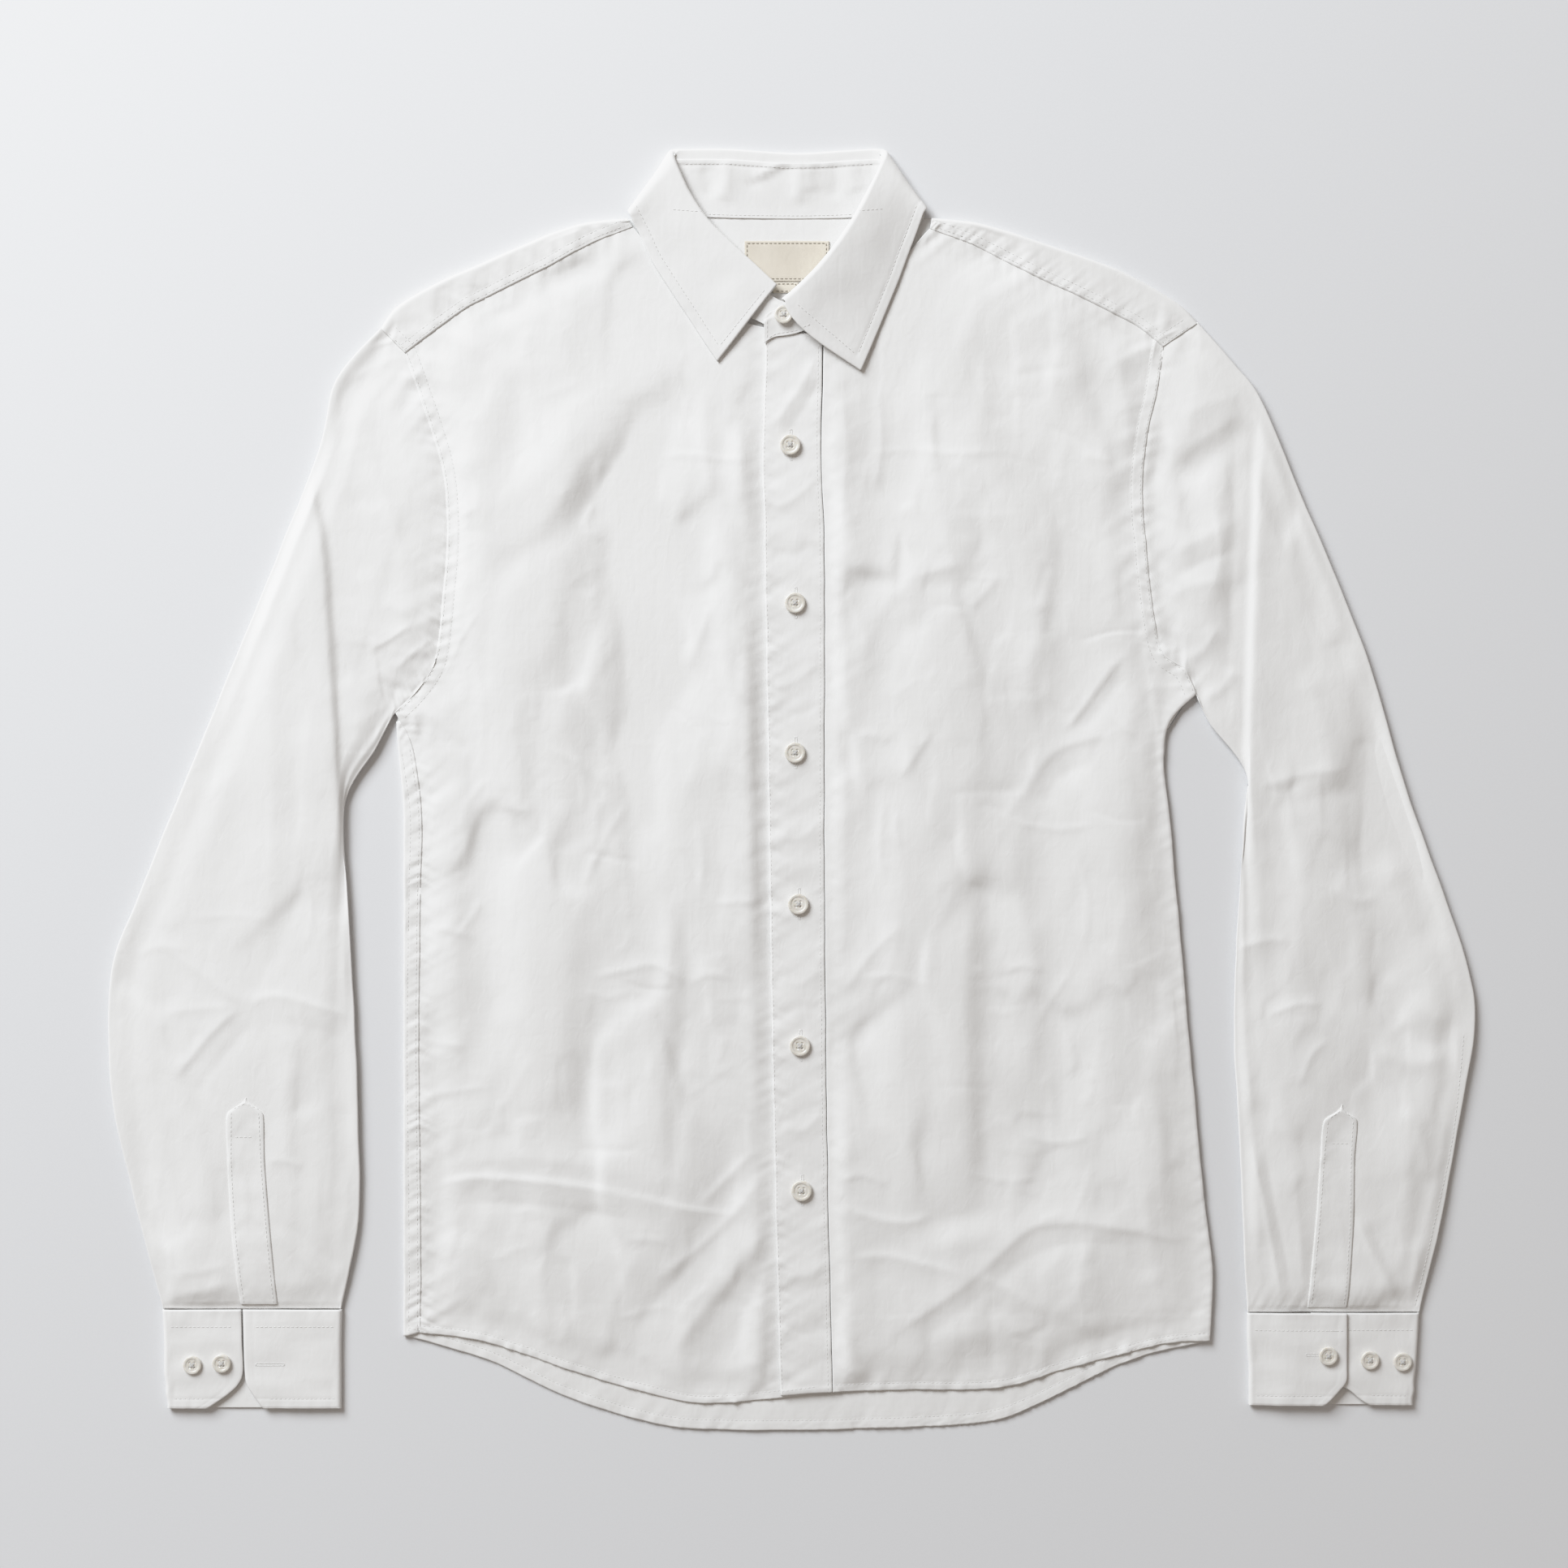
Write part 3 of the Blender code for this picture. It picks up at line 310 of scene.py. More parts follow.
# Creases: height, width, lean, and the points along them
CREASES_FRONT_LEFT = on_path(Crease, [
    (2.4, 20, 0, -71, 288, -109, 236, -149, 191, -189, 141),
    (-1.7, 13, 0, -59, 271, -94, 208, -136, 166, -176, 133, -201, 101),
    (1.2, 14, 0, -169, 271, -189, 226, -196, 186),
    (1.3, 15, -0.3, -173, 106, -174, 56, -172, 6, -175, -44),
    (-0.9, 11, 0, -153, 96, -155, 36, -153, -34),
    (1.1, 14, -0.3, -118, 136, -113, 76, -117, 16, -114, -59),
    (-0.9, 12, 0, -94, 126, -91, 46, -96, -44),
    (1.4, 17, -0.3, -209, -4, -215, -64, -209, -129, -213, -194),
    (-1, 13, 0, -187, -19, -183, -94, -189, -179),
    (1.1, 12, -0.4, -79, -54, -76, -104, -81, -159, -83, -214, -80, -269),
    (-1, 9, 0.3, -66, -64, -66, -124, -70, -184),
    (1, 16, -0.2, -144, -69, -147, -134, -142, -199, -147, -234),
    (-0.8, 14, 0, -121, -79, -119, -144, -123, -224),
    (0.8, 12, 0.2, -41, 186, -39, 106, -43, 36),
    (-0.7, 10, 0, -29, 176, -27, 96, -30, 26),
    (0.35, 1.8, 0, -89, 203, -64, 205, -41, 202, -20, 204),
    (0.45, 2.2, 0.2, -165, 100, -153, 104, -142, 100),
    (0.5, 2.4, 0.3, -125, -117, -104, -112, -83, -109, -63, -122),
    (0.4, 2, 0, -64, -122, -53, -114, -36, -117),
    (0.9, 4, -0.55, -233, -259, -224, -247, -209, -241, -186, -239, -139, -243, -94, -251, -59, -259, -21,
     -264),
    (0.6, 8, 0, -219, -234, -169, -227, -109, -234, -49, -247),
    (-0.7, 7, 0, -209, -254, -149, -257, -89, -266),
    (1.5, 9, -0.3, -13, -264, -36, -297, -59, -324, -78, -354),
    (-1.1, 8, 0, -9, -269, -23, -307, -39, -339, -55, -364),
    (1, 6, 0.3, -16, -234, -39, -264, -64, -287, -89, -304),
    (-0.8, 7, 0, -24, -253, -54, -283, -83, -314, -104, -344),
    (0.9, 8, 0, -94, -279, -109, -314, -118, -354),
    (0.6, 3, 0.4, -24, -222, -44, -242, -58, -257),
    (0.9, 12, 0, -209, -269, -194, -304, -189, -339),
    (0.7, 10, 0, -159, -264, -155, -309, -159, -349),
    (0.8, 7, 0.2, -53, 251, -55, 216, -49, 176),
    (0.7, 5, 0.3, -66, 276, -70, 251, -63, 226),
    (0.9, 6, 0, -36, 246, -33, 206, -36, 166),
    (0.7, 4, 0.3, -206, 206, -194, 186, -189, 161),
    (0.8, 5, 0, -209, 166, -189, 173, -169, 171),
    (0.6, 3, 0.3, -121, 178, -128, 161, -116, 152),
    (0.35, 1.8, 0, -236, -159, -219, -156, -199, -160),
    (0.3, 1.6, 0, -196, 86, -190, 46, -193, 6),
    (0.4, 2.5, 0.3, -59, -19, -56, -44, -60, -69),
    (0.35, 2, 0, -139, 33, -129, 6, -131, -19),
])
CREASES_FRONT_RIGHT = on_path(Crease, [
    (-1.8, 16, 0, 99, 281, 131, 236, 161, 186, 199, 133),
    (1.6, 16, 0, 66, 271, 101, 226, 131, 176, 161, 136),
    (1.5, 13, 0.2, 156, 271, 184, 226, 204, 176),
    (1.2, 9, 0.3, 192, 278, 204, 246, 207, 201),
    (-0.9, 8, 0, 176, 261, 192, 226, 200, 186),
    (0.35, 1.8, 0, 41, 205, 71, 208, 101, 206, 136, 208),
    (1.2, 10, 0.3, 42, 51, 43, 86, 57, 115, 86, 134, 119, 141),
    (-0.8, 10, 0, 59, 56, 63, 86, 81, 109, 111, 118),
    (0.55, 3, 0.4, 105, 107, 116, 118, 127, 132),
    (1.0, 3.2, 0.55, 165, 33, 176, 46, 187, 61, 205, 85),
    (-0.8, 6, 0, 176, 33, 189, 50, 206, 71),
    (0.7, 4, 0.3, 65, 5, 75, 21, 87, 37),
    (0.75, 5, 0.4, 142, -9, 149, 8, 161, 23, 181, 30, 199, 34),
    (-0.6, 6, 0, 154, -14, 162, 5, 184, 17),
    (0.5, 2.4, 0, 40, 32, 49, 33, 60, 28),
    (0.7, 5, 0.2, 30, -128, 46, -104, 67, -83),
    (0.6, 3.4, 0, 110, -108, 120, -117, 132, -128),
    (0.5, 2.6, 0.2, 129, -114, 142, -109, 154, -113),
    (1.4, 13, -0.45, 105, -14, 107, -79, 104, -144, 107, -209, 105, -274),
    (-0.9, 10, 0.2, 119, -24, 121, -104, 118, -184, 121, -264),
    (1.1, 11, -0.3, 142, 6, 139, -59, 146, -129, 140, -199),
    (-0.9, 12, 0, 161, -19, 159, -94, 165, -179, 159, -244),
    (1, 14, 0, 191, 6, 197, -64, 193, -134, 199, -214),
    (-0.8, 12, 0, 216, -14, 219, -94, 217, -179),
    (0.9, 14, 0, 66, -14, 63, -74, 67, -144, 63, -214),
    (-0.9, 13, 0, 85, -24, 87, -104, 84, -204),
    (-0.7, 12, 0, 34, 6, 32, -64, 35, -144, 31, -224),
    (0.9, 10, 0, 71, 166, 69, 136, 76, 96),
    (0.8, 9, 0, 146, 126, 149, 86, 142, 46),
    (1, 4.5, -0.3, 28, -256, 51, -264, 70, -266, 87, -261),
    (0.8, 4, -0.3, 31, -289, 57, -287, 81, -292, 110, -300),
    (1.05, 6, 0.45, 49, -346, 67, -331, 87, -318, 112, -299, 139, -275, 153, -268, 177, -267, 211, -272,
     240, -277, 256, -271),
    (-0.7, 7, 0, 67, -348, 91, -330, 118, -309, 145, -288, 176, -279, 221, -284),
    (1, 5, -0.2, 111, -298, 134, -309, 158, -325),
    (-0.6, 6, 0, 116, -314, 136, -324, 156, -339),
    (0.9, 9, 0, 176, -294, 186, -314, 184, -339),
    (0.8, 10, 0, 216, -294, 223, -319, 219, -344),
    (0.6, 3, 0.3, 28, -242, 42, -237, 59, -245),
    (1, 7, 0, 86, 276, 82, 236, 89, 191),
    (0.8, 5, 0.2, 51, 251, 54, 216, 50, 181),
    (0.7, 5, 0.2, 29, 246, 33, 206, 29, 166),
    (0.8, 3.4, 0.5, 212, 136, 217, 90, 222, 54, 228, 16),
    (0.5, 2.6, 0, 56, -4, 53, -34, 57, -59),
    (0.4, 2.2, 0, 176, -44, 181, -69, 178, -99),
    (0.4, 2, 0, 231, -114, 235, -154, 233, -189),
    (0.35, 1.8, 0, 129, -19, 161, -25, 187, -22),
    (0.5, 3, 0.3, 139, -212, 161, -218, 184, -214),
])
CREASES_SLEEVE_LEFT = on_path(Crease, [
    (6.5, 36, 0, -296, 246, -300, 150, -296, 60, -290, -30),
    (1.4, 13, -0.4, -320, 106, -322, 46, -321, -14, -324, -79, -334, -129),
    (-1.1, 11, 0.2, -303, 106, -304, 36, -303, -34, -308, -94),
    (0.8, 14, 0, -344, 76, -351, 6, -358, -59),
    (0.35, 1.8, 0, -374, -80, -344, -78, -316, -81),
    (1.1, 5.5, 0.2, -391, -92, -373, -107, -353, -122, -336, -134),
    (0.7, 3, 0, -387, -138, -364, -135, -343, -134),
    (1.7, 5, -0.45, -338, -133, -353, -146, -368, -163, -382, -180),
    (-0.9, 6, 0, -328, -139, -343, -156, -358, -175, -371, -195),
    (1, 4, -0.3, -338, -134, -319, -127, -293, -133, -269, -142),
    (-0.6, 6, 0, -329, -145, -299, -146, -274, -156),
    (0.8, 3.4, 0, -324, -230, -313, -228, -300, -233),
    (0.9, 5, 0.2, -320, -268, -303, -287, -282, -308),
    (-0.6, 5, 0, -314, -264, -294, -282, -276, -297),
    (0.9, 3.4, 0, -388, -315, -369, -310, -343, -304),
    (0.8, 3.2, 0, -383, -325, -364, -321, -343, -317),
    (0.7, 3, 0, -386, -299, -367, -297, -345, -292),
    (0.9, 5, 0, -396, -229, -387, -264, -379, -299),
    (0.9, 8, 0, -369, -194, -363, -229, -361, -269),
    (-0.7, 7, 0, -382, -199, -376, -239, -371, -279),
    (1.1, 6, 0.2, -275, 250, -259, 258, -238, 267),
    (1, 2.2, 0.3, -246, 72, -232, 84, -216, 96),
    (0.9, 2.4, 0.3, -262, 84, -247, 92, -233, 102),
    (-0.5, 5, 0, -259, 72, -239, 83, -220, 91),
    (1.2, 7, 0, -269, 206, -254, 186, -243, 156, -239, 126),
    (0.9, 6, 0.2, -269, 136, -254, 116, -229, 106),
    (-0.8, 7, 0, -254, 226, -239, 196, -229, 161),
    (1, 7, 0, -274, 36, -258, 46, -244, 55),
    (0.7, 10, 0, -319, 166, -324, 126, -324, 86),
    (0.5, 3, 0, -306, -44, -296, -69, -299, -99),
    (0.9, 9, 0, -286, -54, -285, -104, -288, -159),
    (0.8, 7, 0, -309, -164, -313, -199, -309, -234),
    (0.7, 6, 0, -289, -179, -284, -219, -287, -264),
    (0.6, 3, 0.2, -405, -104, -389, -97, -369, -100),
])
CREASES_SLEEVE_RIGHT = on_path(Crease, [
    (1.4, 24, 0, 318, 60, 326, -20, 330, -90, 326, -220),
    (-1.6, 22, 0, 350, 60, 362, -30, 368, -120, 362, -230),
    (-1.3, 8, 0, 273, 236, 271, 186, 269, 126, 267, 71, 268, 26),
    (0.7, 5, 0.3, 284, 0, 311, 8, 342, 12),
    (-0.6, 8, 0, 291, -14, 321, -6, 351, -2),
    (0.6, 3.4, 0, 271, -99, 291, -93, 306, -95),
    (0.6, 3, 0, 290, -140, 311, -132, 327, -134),
    (1.2, 13, 0.2, 311, -19, 314, -74, 306, -129, 309, -179),
    (-1, 12, 0, 334, -24, 337, -89, 331, -154),
    (1, 12, 0, 356, 36, 367, -19, 373, -74),
    (-0.9, 10, 0, 380, -14, 387, -64, 391, -104),
    (1.2, 9, 0.2, 361, -114, 383, -134, 406, -145),
    (1.1, 8, 0, 356, -159, 379, -169, 403, -164),
    (-0.8, 8, 0, 361, -137, 383, -154, 409, -158),
    (0.8, 7, 0, 371, -194, 385, -214, 389, -244),
    (1, 7, 0.2, 311, 206, 331, 156, 347, 106),
    (-0.8, 9, 0, 301, 196, 314, 136, 326, 86),
    (0.9, 9, 0, 311, 76, 326, 36, 331, -4),
    (0.7, 6, 0, 229, 141, 251, 154, 276, 166),
    (0.6, 5, 0, 226, 116, 246, 125, 267, 126),
    (-0.8, 5, 0, 231, 128, 251, 139, 273, 146),
    (0.7, 6, 0.2, 231, 198, 251, 214, 276, 232),
    (-1.9, 13, 0.2, 229, 182, 252, 204, 280, 226),
    (0.5, 5, 0, 236, 226, 254, 236, 276, 241),
    (0.9, 5, 0.2, 235, 75, 251, 84, 261, 101),
    (1, 5, 0, 249, 55, 263, 61, 272, 75),
    (0.6, 7, 0, 251, 106, 261, 136, 265, 166),
    (1.3, 4.4, 0.2, 281, -212, 284, -234, 289, -256, 295, -289, 301, -320),
    (-0.9, 5, 0, 289, -214, 294, -249, 301, -284, 307, -317),
    (1.2, 4.2, 0.2, 344, -259, 354, -283, 365, -304, 372, -317),
    (-0.8, 5, 0, 353, -264, 363, -287, 374, -308),
    (0.9, 6, 0, 306, -224, 310, -264, 313, -309),
    (0.8, 6, 0, 384, -274, 381, -299, 379, -319),
    (0.7, 9, 0, 289, -29, 286, -74, 284, -114),
    (0.7, 3.6, 0, 311, -184, 317, -164, 329, -154),
    (0.5, 3, 0, 331, -59, 345, -69, 361, -66),
])
CREASES_PLACKET = on_path(Crease, [
    (0.75, 5, 0.25, 15, 268, 4, 246, -14, 221),
    (-0.5, 5, 0, 16, 252, 6, 232, -8, 214),
    (0.4, 4, 0.2, 14, 190, 0, 178, -15, 172),
    (-0.35, 4, 0, 12, 152, 0, 143, -13, 148),
    (0.4, 4, 0, 15, 78, 2, 66, -13, 61),
    (-0.3, 4, 0, 16, 52, 3, 45, -12, 51),
    (0.35, 4, 0.2, 16, -22, 2, -31, -11, -27),
    (0.4, 5, 0, 17, -108, 5, -120, -11, -116),
    (-0.35, 4, 0, 18, -138, 5, -134, -9, -143),
    (0.45, 5, 0.2, 19, -196, 6, -210, -8, -205),
    (0.5, 4, 0, 20, -290, 8, -300, -6, -297),
    (-0.4, 5, 0, 21, -328, 8, -336, -5, -330),
])
CREASES_BAND = on_path(Crease, [
    (0.8, 4, 0.4, 3, 393, 2.5, 376, 1, 358),
    (0.9, 3.2, 0.3, 5, 391, -9, 384, -26, 374),
    (-0.5, 3, 0, -2, 383, -14, 376, -30, 369),
    (0.7, 4, 0.2, -44, 388, -41, 376, -46, 360),
    (-0.5, 4, 0, -54, 384, -51, 372, -55, 362),
    (0.6, 4, -0.2, 14, 388, 10, 378, 12, 366),
    (-0.5, 4, 0, 24, 386, 27, 374, 23, 361),
    (0.5, 5, 0, 38, 388, 36, 378, 40, 366),
])

# Broad slow waves of the body, which shade it softly
WAVES_LEFT = on_path(Crease, [
    (2.5, 34, -0.2, -150, 250, -158, 120, -150, -40, -158, -220),
    (-1.9, 30, 0, -92, 240, -88, 100, -94, -60, -90, -240),
    (1.1, 24, 0, -44, 150, -46, 20, -44, -150),
])
WAVES_RIGHT = on_path(Crease, [
    (3.0, 36, -0.3, 88, 230, 92, 90, 96, -80, 92, -300),
    (-2.3, 34, 0, 150, 190, 152, 50, 156, -120, 150, -320),
    (1.9, 26, -0.2, 208, 60, 214, -60, 212, -200, 222, -320),
    (-0.9, 22, 0, 44, 190, 42, 40, 44, -120, 46, -300),
    (3.4, 24, 0.2, 96, -262, 106, -305, 112, -352),
])

# Long folds where one side of a sleeve lies over the other: height, the two reaches, and the points
FOLDS_SLEEVE_LEFT = on_path(Fold, [
    (1.9, 34, 16, -286, 245, -296, 200, -288, 156, -285, 121, -282, 71, -279, 16, -276, -30, -275, -80),
])
FOLDS_SLEEVE_RIGHT = on_path(Fold, [
    (1.8, 26, 12, 279, -60, 278, 6, 279, 56, 281, 111, 283, 161, 285, 206, 288, 240),
])

# What the two sides of the shirt have in common, with how strong their creases and puckers are
Side = namedtuple(
    "Side", "name inward shoulder yoke_seam armhole hem side_seam outer inner creases folds front_calm "
    "front_seed sleeve_calm sleeve_seed armhole_seed yoke_pucker yoke_size yoke_seed"
)
LEFT = Side(
    "left", 1, SHOULDER_LEFT, YOKE_SEAM_LEFT, ARMHOLE_LEFT, FRONT_HEM_LEFT, SIDE_LEFT,
    SLEEVE_OUTER_LEFT, SLEEVE_INNER_LEFT, CREASES_SLEEVE_LEFT, FOLDS_SLEEVE_LEFT,
    front_calm=1.0, front_seed=23, sleeve_calm=0.5, sleeve_seed=121, armhole_seed=11,
    yoke_pucker=0.80, yoke_size=6.0, yoke_seed=13,
)
RIGHT = Side(
    "right", -1, SHOULDER_RIGHT, YOKE_SEAM_RIGHT, ARMHOLE_RIGHT, FRONT_HEM_RIGHT, SIDE_RIGHT,
    SLEEVE_OUTER_RIGHT, SLEEVE_INNER_RIGHT, CREASES_SLEEVE_RIGHT, FOLDS_SLEEVE_RIGHT,
    front_calm=0.88, front_seed=43, sleeve_calm=0.95, sleeve_seed=131, armhole_seed=31,
    yoke_pucker=1.1, yoke_size=3.8, yoke_seed=33,
)
SIDES = (LEFT, RIGHT)

# Sewn-on buttons: where, height of the cloth's top there, width
ButtonPlace = namedtuple("ButtonPlace", "node x y base width")
FRONT_BUTTONS = [
    ButtonPlace(f"button_front_{k}", x, y, 4.8, 12.7)
    for k, (x, y) in enumerate([(-2, 211), (1, 114), (1, 22), (3, -71), (4, -158), (5, -247)], 1)
]
BUTTONS = FRONT_BUTTONS + [ButtonPlace(*row, 11.4) for row in (
    ("button_collar", -6, 290.5, 7.7),
    ("button_cuff_left_1", -369, -354, 4.75),
    ("button_cuff_left_2", -351, -353, 4.75),
    ("button_cuff_right_1", 328, -348, 6.75),
    ("button_cuff_right_2", 354, -351, 4.75),
    ("button_cuff_right_3", 374, -352, 4.75),
)]

# Buttonholes: middle, length and turn in degrees
Buttonhole = namedtuple("Buttonhole", "x y length turn")
BUTTONHOLES = [Buttonhole(b.x + 0.5, b.y, 18.5, 90) for b in FRONT_BUTTONS]
BUTTONHOLES += [Buttonhole(-321.5, -354, 17, 0), Buttonhole(322, -347.5, 14, 0)]

# What each cloth piece was cut to: width and length in metres, and its area in square metres
Sheet = namedtuple("Sheet", "piece flat area rests_on with_pieces", defaults=([], []))

# Labels on the yoke's inside, by their edges
LabelPlace = namedtuple("LabelPlace", "node left right low high")
LABEL_MAIN = LabelPlace("label_main", -30, 22, 312, 337)
LABEL_SMALL = LabelPlace("label_small", -13, 3, 305, 311.5)


# Lines and grids


def ease(value):
    """From 0 to 1 between 0 and 1, softly."""
    t = np.clip(value, 0.0, 1.0)
    return t * t * (3.0 - 2.0 * t)


def falling(value):
    """From 1 to 0 between 0 and 1, softly."""
    return 1 - ease(value)


def through(rows, shares):
    """Smooth rows at shares of the way through a table, counted by rows."""
    table = np.array(rows, float)
    place = np.clip(np.atleast_1d(shares), 0.0, 1.0) * (len(table) - 1)
    i = np.minimum(place.astype(int), len(table) - 2)
    t = (place - i)[:, None]
    a, b = table[np.maximum(i - 1, 0)], table[i]
    c, d = table[i + 1], table[np.minimum(i + 2, len(table) - 1)]
    cubic = 3 * b - a - 3 * c + d
    return 0.5 * (2 * b + (c - a) * t + (2 * a - 5 * b + 4 * c - d) * t ** 2 + cubic * t ** 3)


def runs(line):
    """Distance along a line at each of its points."""
    return np.concatenate([[0.0], np.cumsum(np.hypot(*np.diff(line[:, :2], axis=0).T))])


def at(line, shares):
    """Points at shares of a line's length."""
    run = runs(line)
    want = np.asarray(shares) * run[-1]
    return np.stack([np.interp(want, run, line[:, k]) for k in range(line.shape[1])], axis=1)


def curve(points, step=1.0):
    """Points about a step apart along the smooth line through a table of points."""
    fine = through(points, np.linspace(0, 1, CURVE_POINTS * len(points)))
    return at(fine, np.linspace(0, 1, max(2, round(runs(fine)[-1] / step) + 1)))


def joined(*lines):
    """Lines end to end as one."""
    return np.concatenate([lines[0]] + [line[1:] for line in lines[1:]])


def shifted(line, distance):
    """A line moved sideways, to its left where the distance is above 0."""
    along = np.gradient(line, axis=0)
    along /= np.maximum(np.hypot(*along.T), 1e-9)[:, None]
    return line + np.stack([-along[:, 1], along[:, 0]], axis=1) * distance


def graded(length, step=STEP, fine=FINE_STEP, rim=FINE_RIM):
    """An odd number of shares of a length, close together near both ends."""
    near_end = np.linspace(0, rim, round(rim / fine) + 1)
    middle = np.linspace(rim, length - rim, 2 * max(1, round((length - 2 * rim) / step / 2)) + 1)
    return np.concatenate([near_end, middle[1:], length - near_end[::-1][1:]]) / length


def patch(left, right, bottom, top, u, v):
    """A grid of flat points inside four lines, at shares u across and v up."""
    left, right, bottom, top = at(left, v), at(right, v), at(bottom, u), at(top, u)
    u, v = u[None, :, None], v[:, None, None]
    across = left[:, None] * (1 - u) + right[:, None] * u
    along = bottom[None] * (1 - v) + top[None] * v
    corners = (bottom[0] * (1 - u) + bottom[-1] * u) * (1 - v) + (top[0] * (1 - u) + top[-1] * u) * v
    return across + along - corners


def near(xy, line, reach):
    """Distance from a line, place along it and side of it (1 left, -1 right) for flat points within reach."""
    flat = xy.reshape(-1, 2)
    distance, along, side = np.full(len(flat), float(reach)), np.zeros(len(flat)), np.ones(len(flat))
    starts, steps = line[:-1], np.diff(line, axis=0)
    lengths = np.maximum(np.hypot(*steps.T), 1e-9)
    run = np.concatenate([[0.0], np.cumsum(lengths)[:-1]])
    chosen = np.flatnonzero(((flat > line.min(0) - reach) & (flat < line.max(0) + reach)).all(axis=1))
    for part in np.array_split(chosen, len(chosen) // BATCH + 1):
        gap = flat[part][:, None] - starts
        share = np.clip((gap * steps).sum(axis=2) / lengths ** 2, 0.0, 1.0)
        off = gap - share[..., None] * steps
        square = (off ** 2).sum(axis=2)
        best, row = square.argmin(axis=1), np.arange(len(part))
        distance[part] = np.minimum(np.sqrt(square[row, best]), reach)
        along[part] = run[best] + share[row, best] * lengths[best]
        cross = steps[best, 0] * gap[row, best, 1] - steps[best, 1] * gap[row, best, 0]
        side[part] = np.where(cross >= 0, 1.0, -1.0)
    shape = xy.shape[:-1]
    return distance.reshape(shape), along.reshape(shape), side.reshape(shape)


def distance_to(xy, points, reach):
    """Distance from the line through a table, no further than a reach."""
    return near(xy, curve(points, LINE_STEP), reach)[0]


# What gives cloth its height


def noise(x, y, size, seed):
    """Smooth gradient noise from about -1 to 1 whose bumps are a size in millimetres across."""
    angles = np.random.default_rng(seed).uniform(0, math.tau, (128, 128))
    x, y = np.asarray(x, float) / size + 64.37, np.asarray(y, float) / size + 64.71
    i, j = np.floor(x).astype(int), np.floor(y).astype(int)
    fx, fy = x - i, y - j
    sx, sy = fx ** 3 * (fx * (fx * 6 - 15) + 10), fy ** 3 * (fy * (fy * 6 - 15) + 10)

    def corner(a, b):
        angle = angles[(i + a) % 128, (j + b) % 128]
        return np.cos(angle) * (fx - a) + np.sin(angle) * (fy - b)

    low = corner(0, 0) * (1 - sx) + corner(1, 0) * sx
    high = corner(0, 1) * (1 - sx) + corner(1, 1) * sx
    return 1.6 * (low * (1 - sy) + high * sy)


def ripple(along, size, seed):
    """Uneven waves along a line."""
    return 0.7 * noise(along, 0 * along, size, seed) + 0.45 * noise(along, 0 * along, size * 0.47, seed + 1)


def undulation(xy, seed):
    """The slow rise and fall of cloth that lies loose, longer along the body than across it."""
    x, y = xy[..., 0], xy[..., 1]
    slow = 2.7 * noise(x, y * 0.45, 118, seed + 5) + 1.7 * noise(x, y * 0.3, 54, seed)
    return slow + 0.34 * noise(x, y * 0.55, 27, seed + 1) + 0.08 * noise(x, y * 0.7, 11, seed + 2)


def facets(xy, size, tilt, seed):
    """Patches of a size in millimetres that tip this way and that, as in cloth that was crumpled."""
    rng = np.random.default_rng(seed)
    spots, tips = rng.uniform(0.1, 0.9, (64, 64, 2)), rng.normal(0, tilt, (64, 64, 2))
    x, y = xy[..., 0] / size + 40, 0.58 * xy[..., 1] / size + 40
    i, j = np.floor(x).astype(int), np.floor(y).astype(int)
    total, weights = 0 * x, 0 * x + 1e-9
    for a in (-1, 0, 1):
        for b in (-1, 0, 1):
            spot, tip = spots[(i + a) % 64, (j + b) % 64], tips[(i + a) % 64, (j + b) % 64]
            off_x, off_y = x - i - a - spot[..., 0], y - j - b - spot[..., 1]
            weight = np.exp(-9 * (off_x ** 2 + off_y ** 2))
            total += weight * (tip[..., 0] * off_x + tip[..., 1] * off_y)
            weights += weight
    return size * total / weights


def crumple(xy, seed):
    """Large and small facets, stronger in some places than in others."""
    place = ease(0.55 + 0.9 * noise(xy[..., 0], xy[..., 1], 90, seed + 1))
    return (0.35 + 0.65 * place) * (facets(xy, 38, 0.052, seed) + facets(xy, 17, 0.026, seed + 2))


def kept(height, low, high):
    """Heights held between two limits, bending softly towards each."""
    height = low + 0.25 * np.logaddexp(0, (height - low) / 0.25)
    return high - 0.5 * np.logaddexp(0, (high - height) / 0.5)


def groove(distance, place, width=GROOVE_WIDTH):
    """1 in the middle of a narrow groove at a distance, fading to both sides."""
    return np.exp(-((distance - place) / width) ** 2)


def ends_faded(along, line, part):
    """1 along the middle of a line, fading over a part of its length at each end."""
    share = along / runs(line)[-1]
    return ease(share / part) * ease((1 - share) / part)


def crease_height(xy, creases):
    """How far soft ridges and troughs lift or lower the cloth; lean above 0 makes the right side steep."""
    total = np.zeros(xy.shape[:-1])
    for crease in creases:
        line = curve(crease.path, 2 * LINE_STEP)
        reach = 2.6 * crease.width * (1 + abs(crease.lean))
        distance, along, side = near(xy, line, reach)
        width = crease.width * (1 + crease.lean * side)
        power = 1.25 + 0.75 * float(ease((crease.width - 4) / 9))
        fade = ends_faded(along, line, CREASE_END) * ease((reach - distance) / (0.3 * reach))
        total += CREASE_RELIEF * crease.height * fade * np.exp(-(distance / width) ** power)
    return total


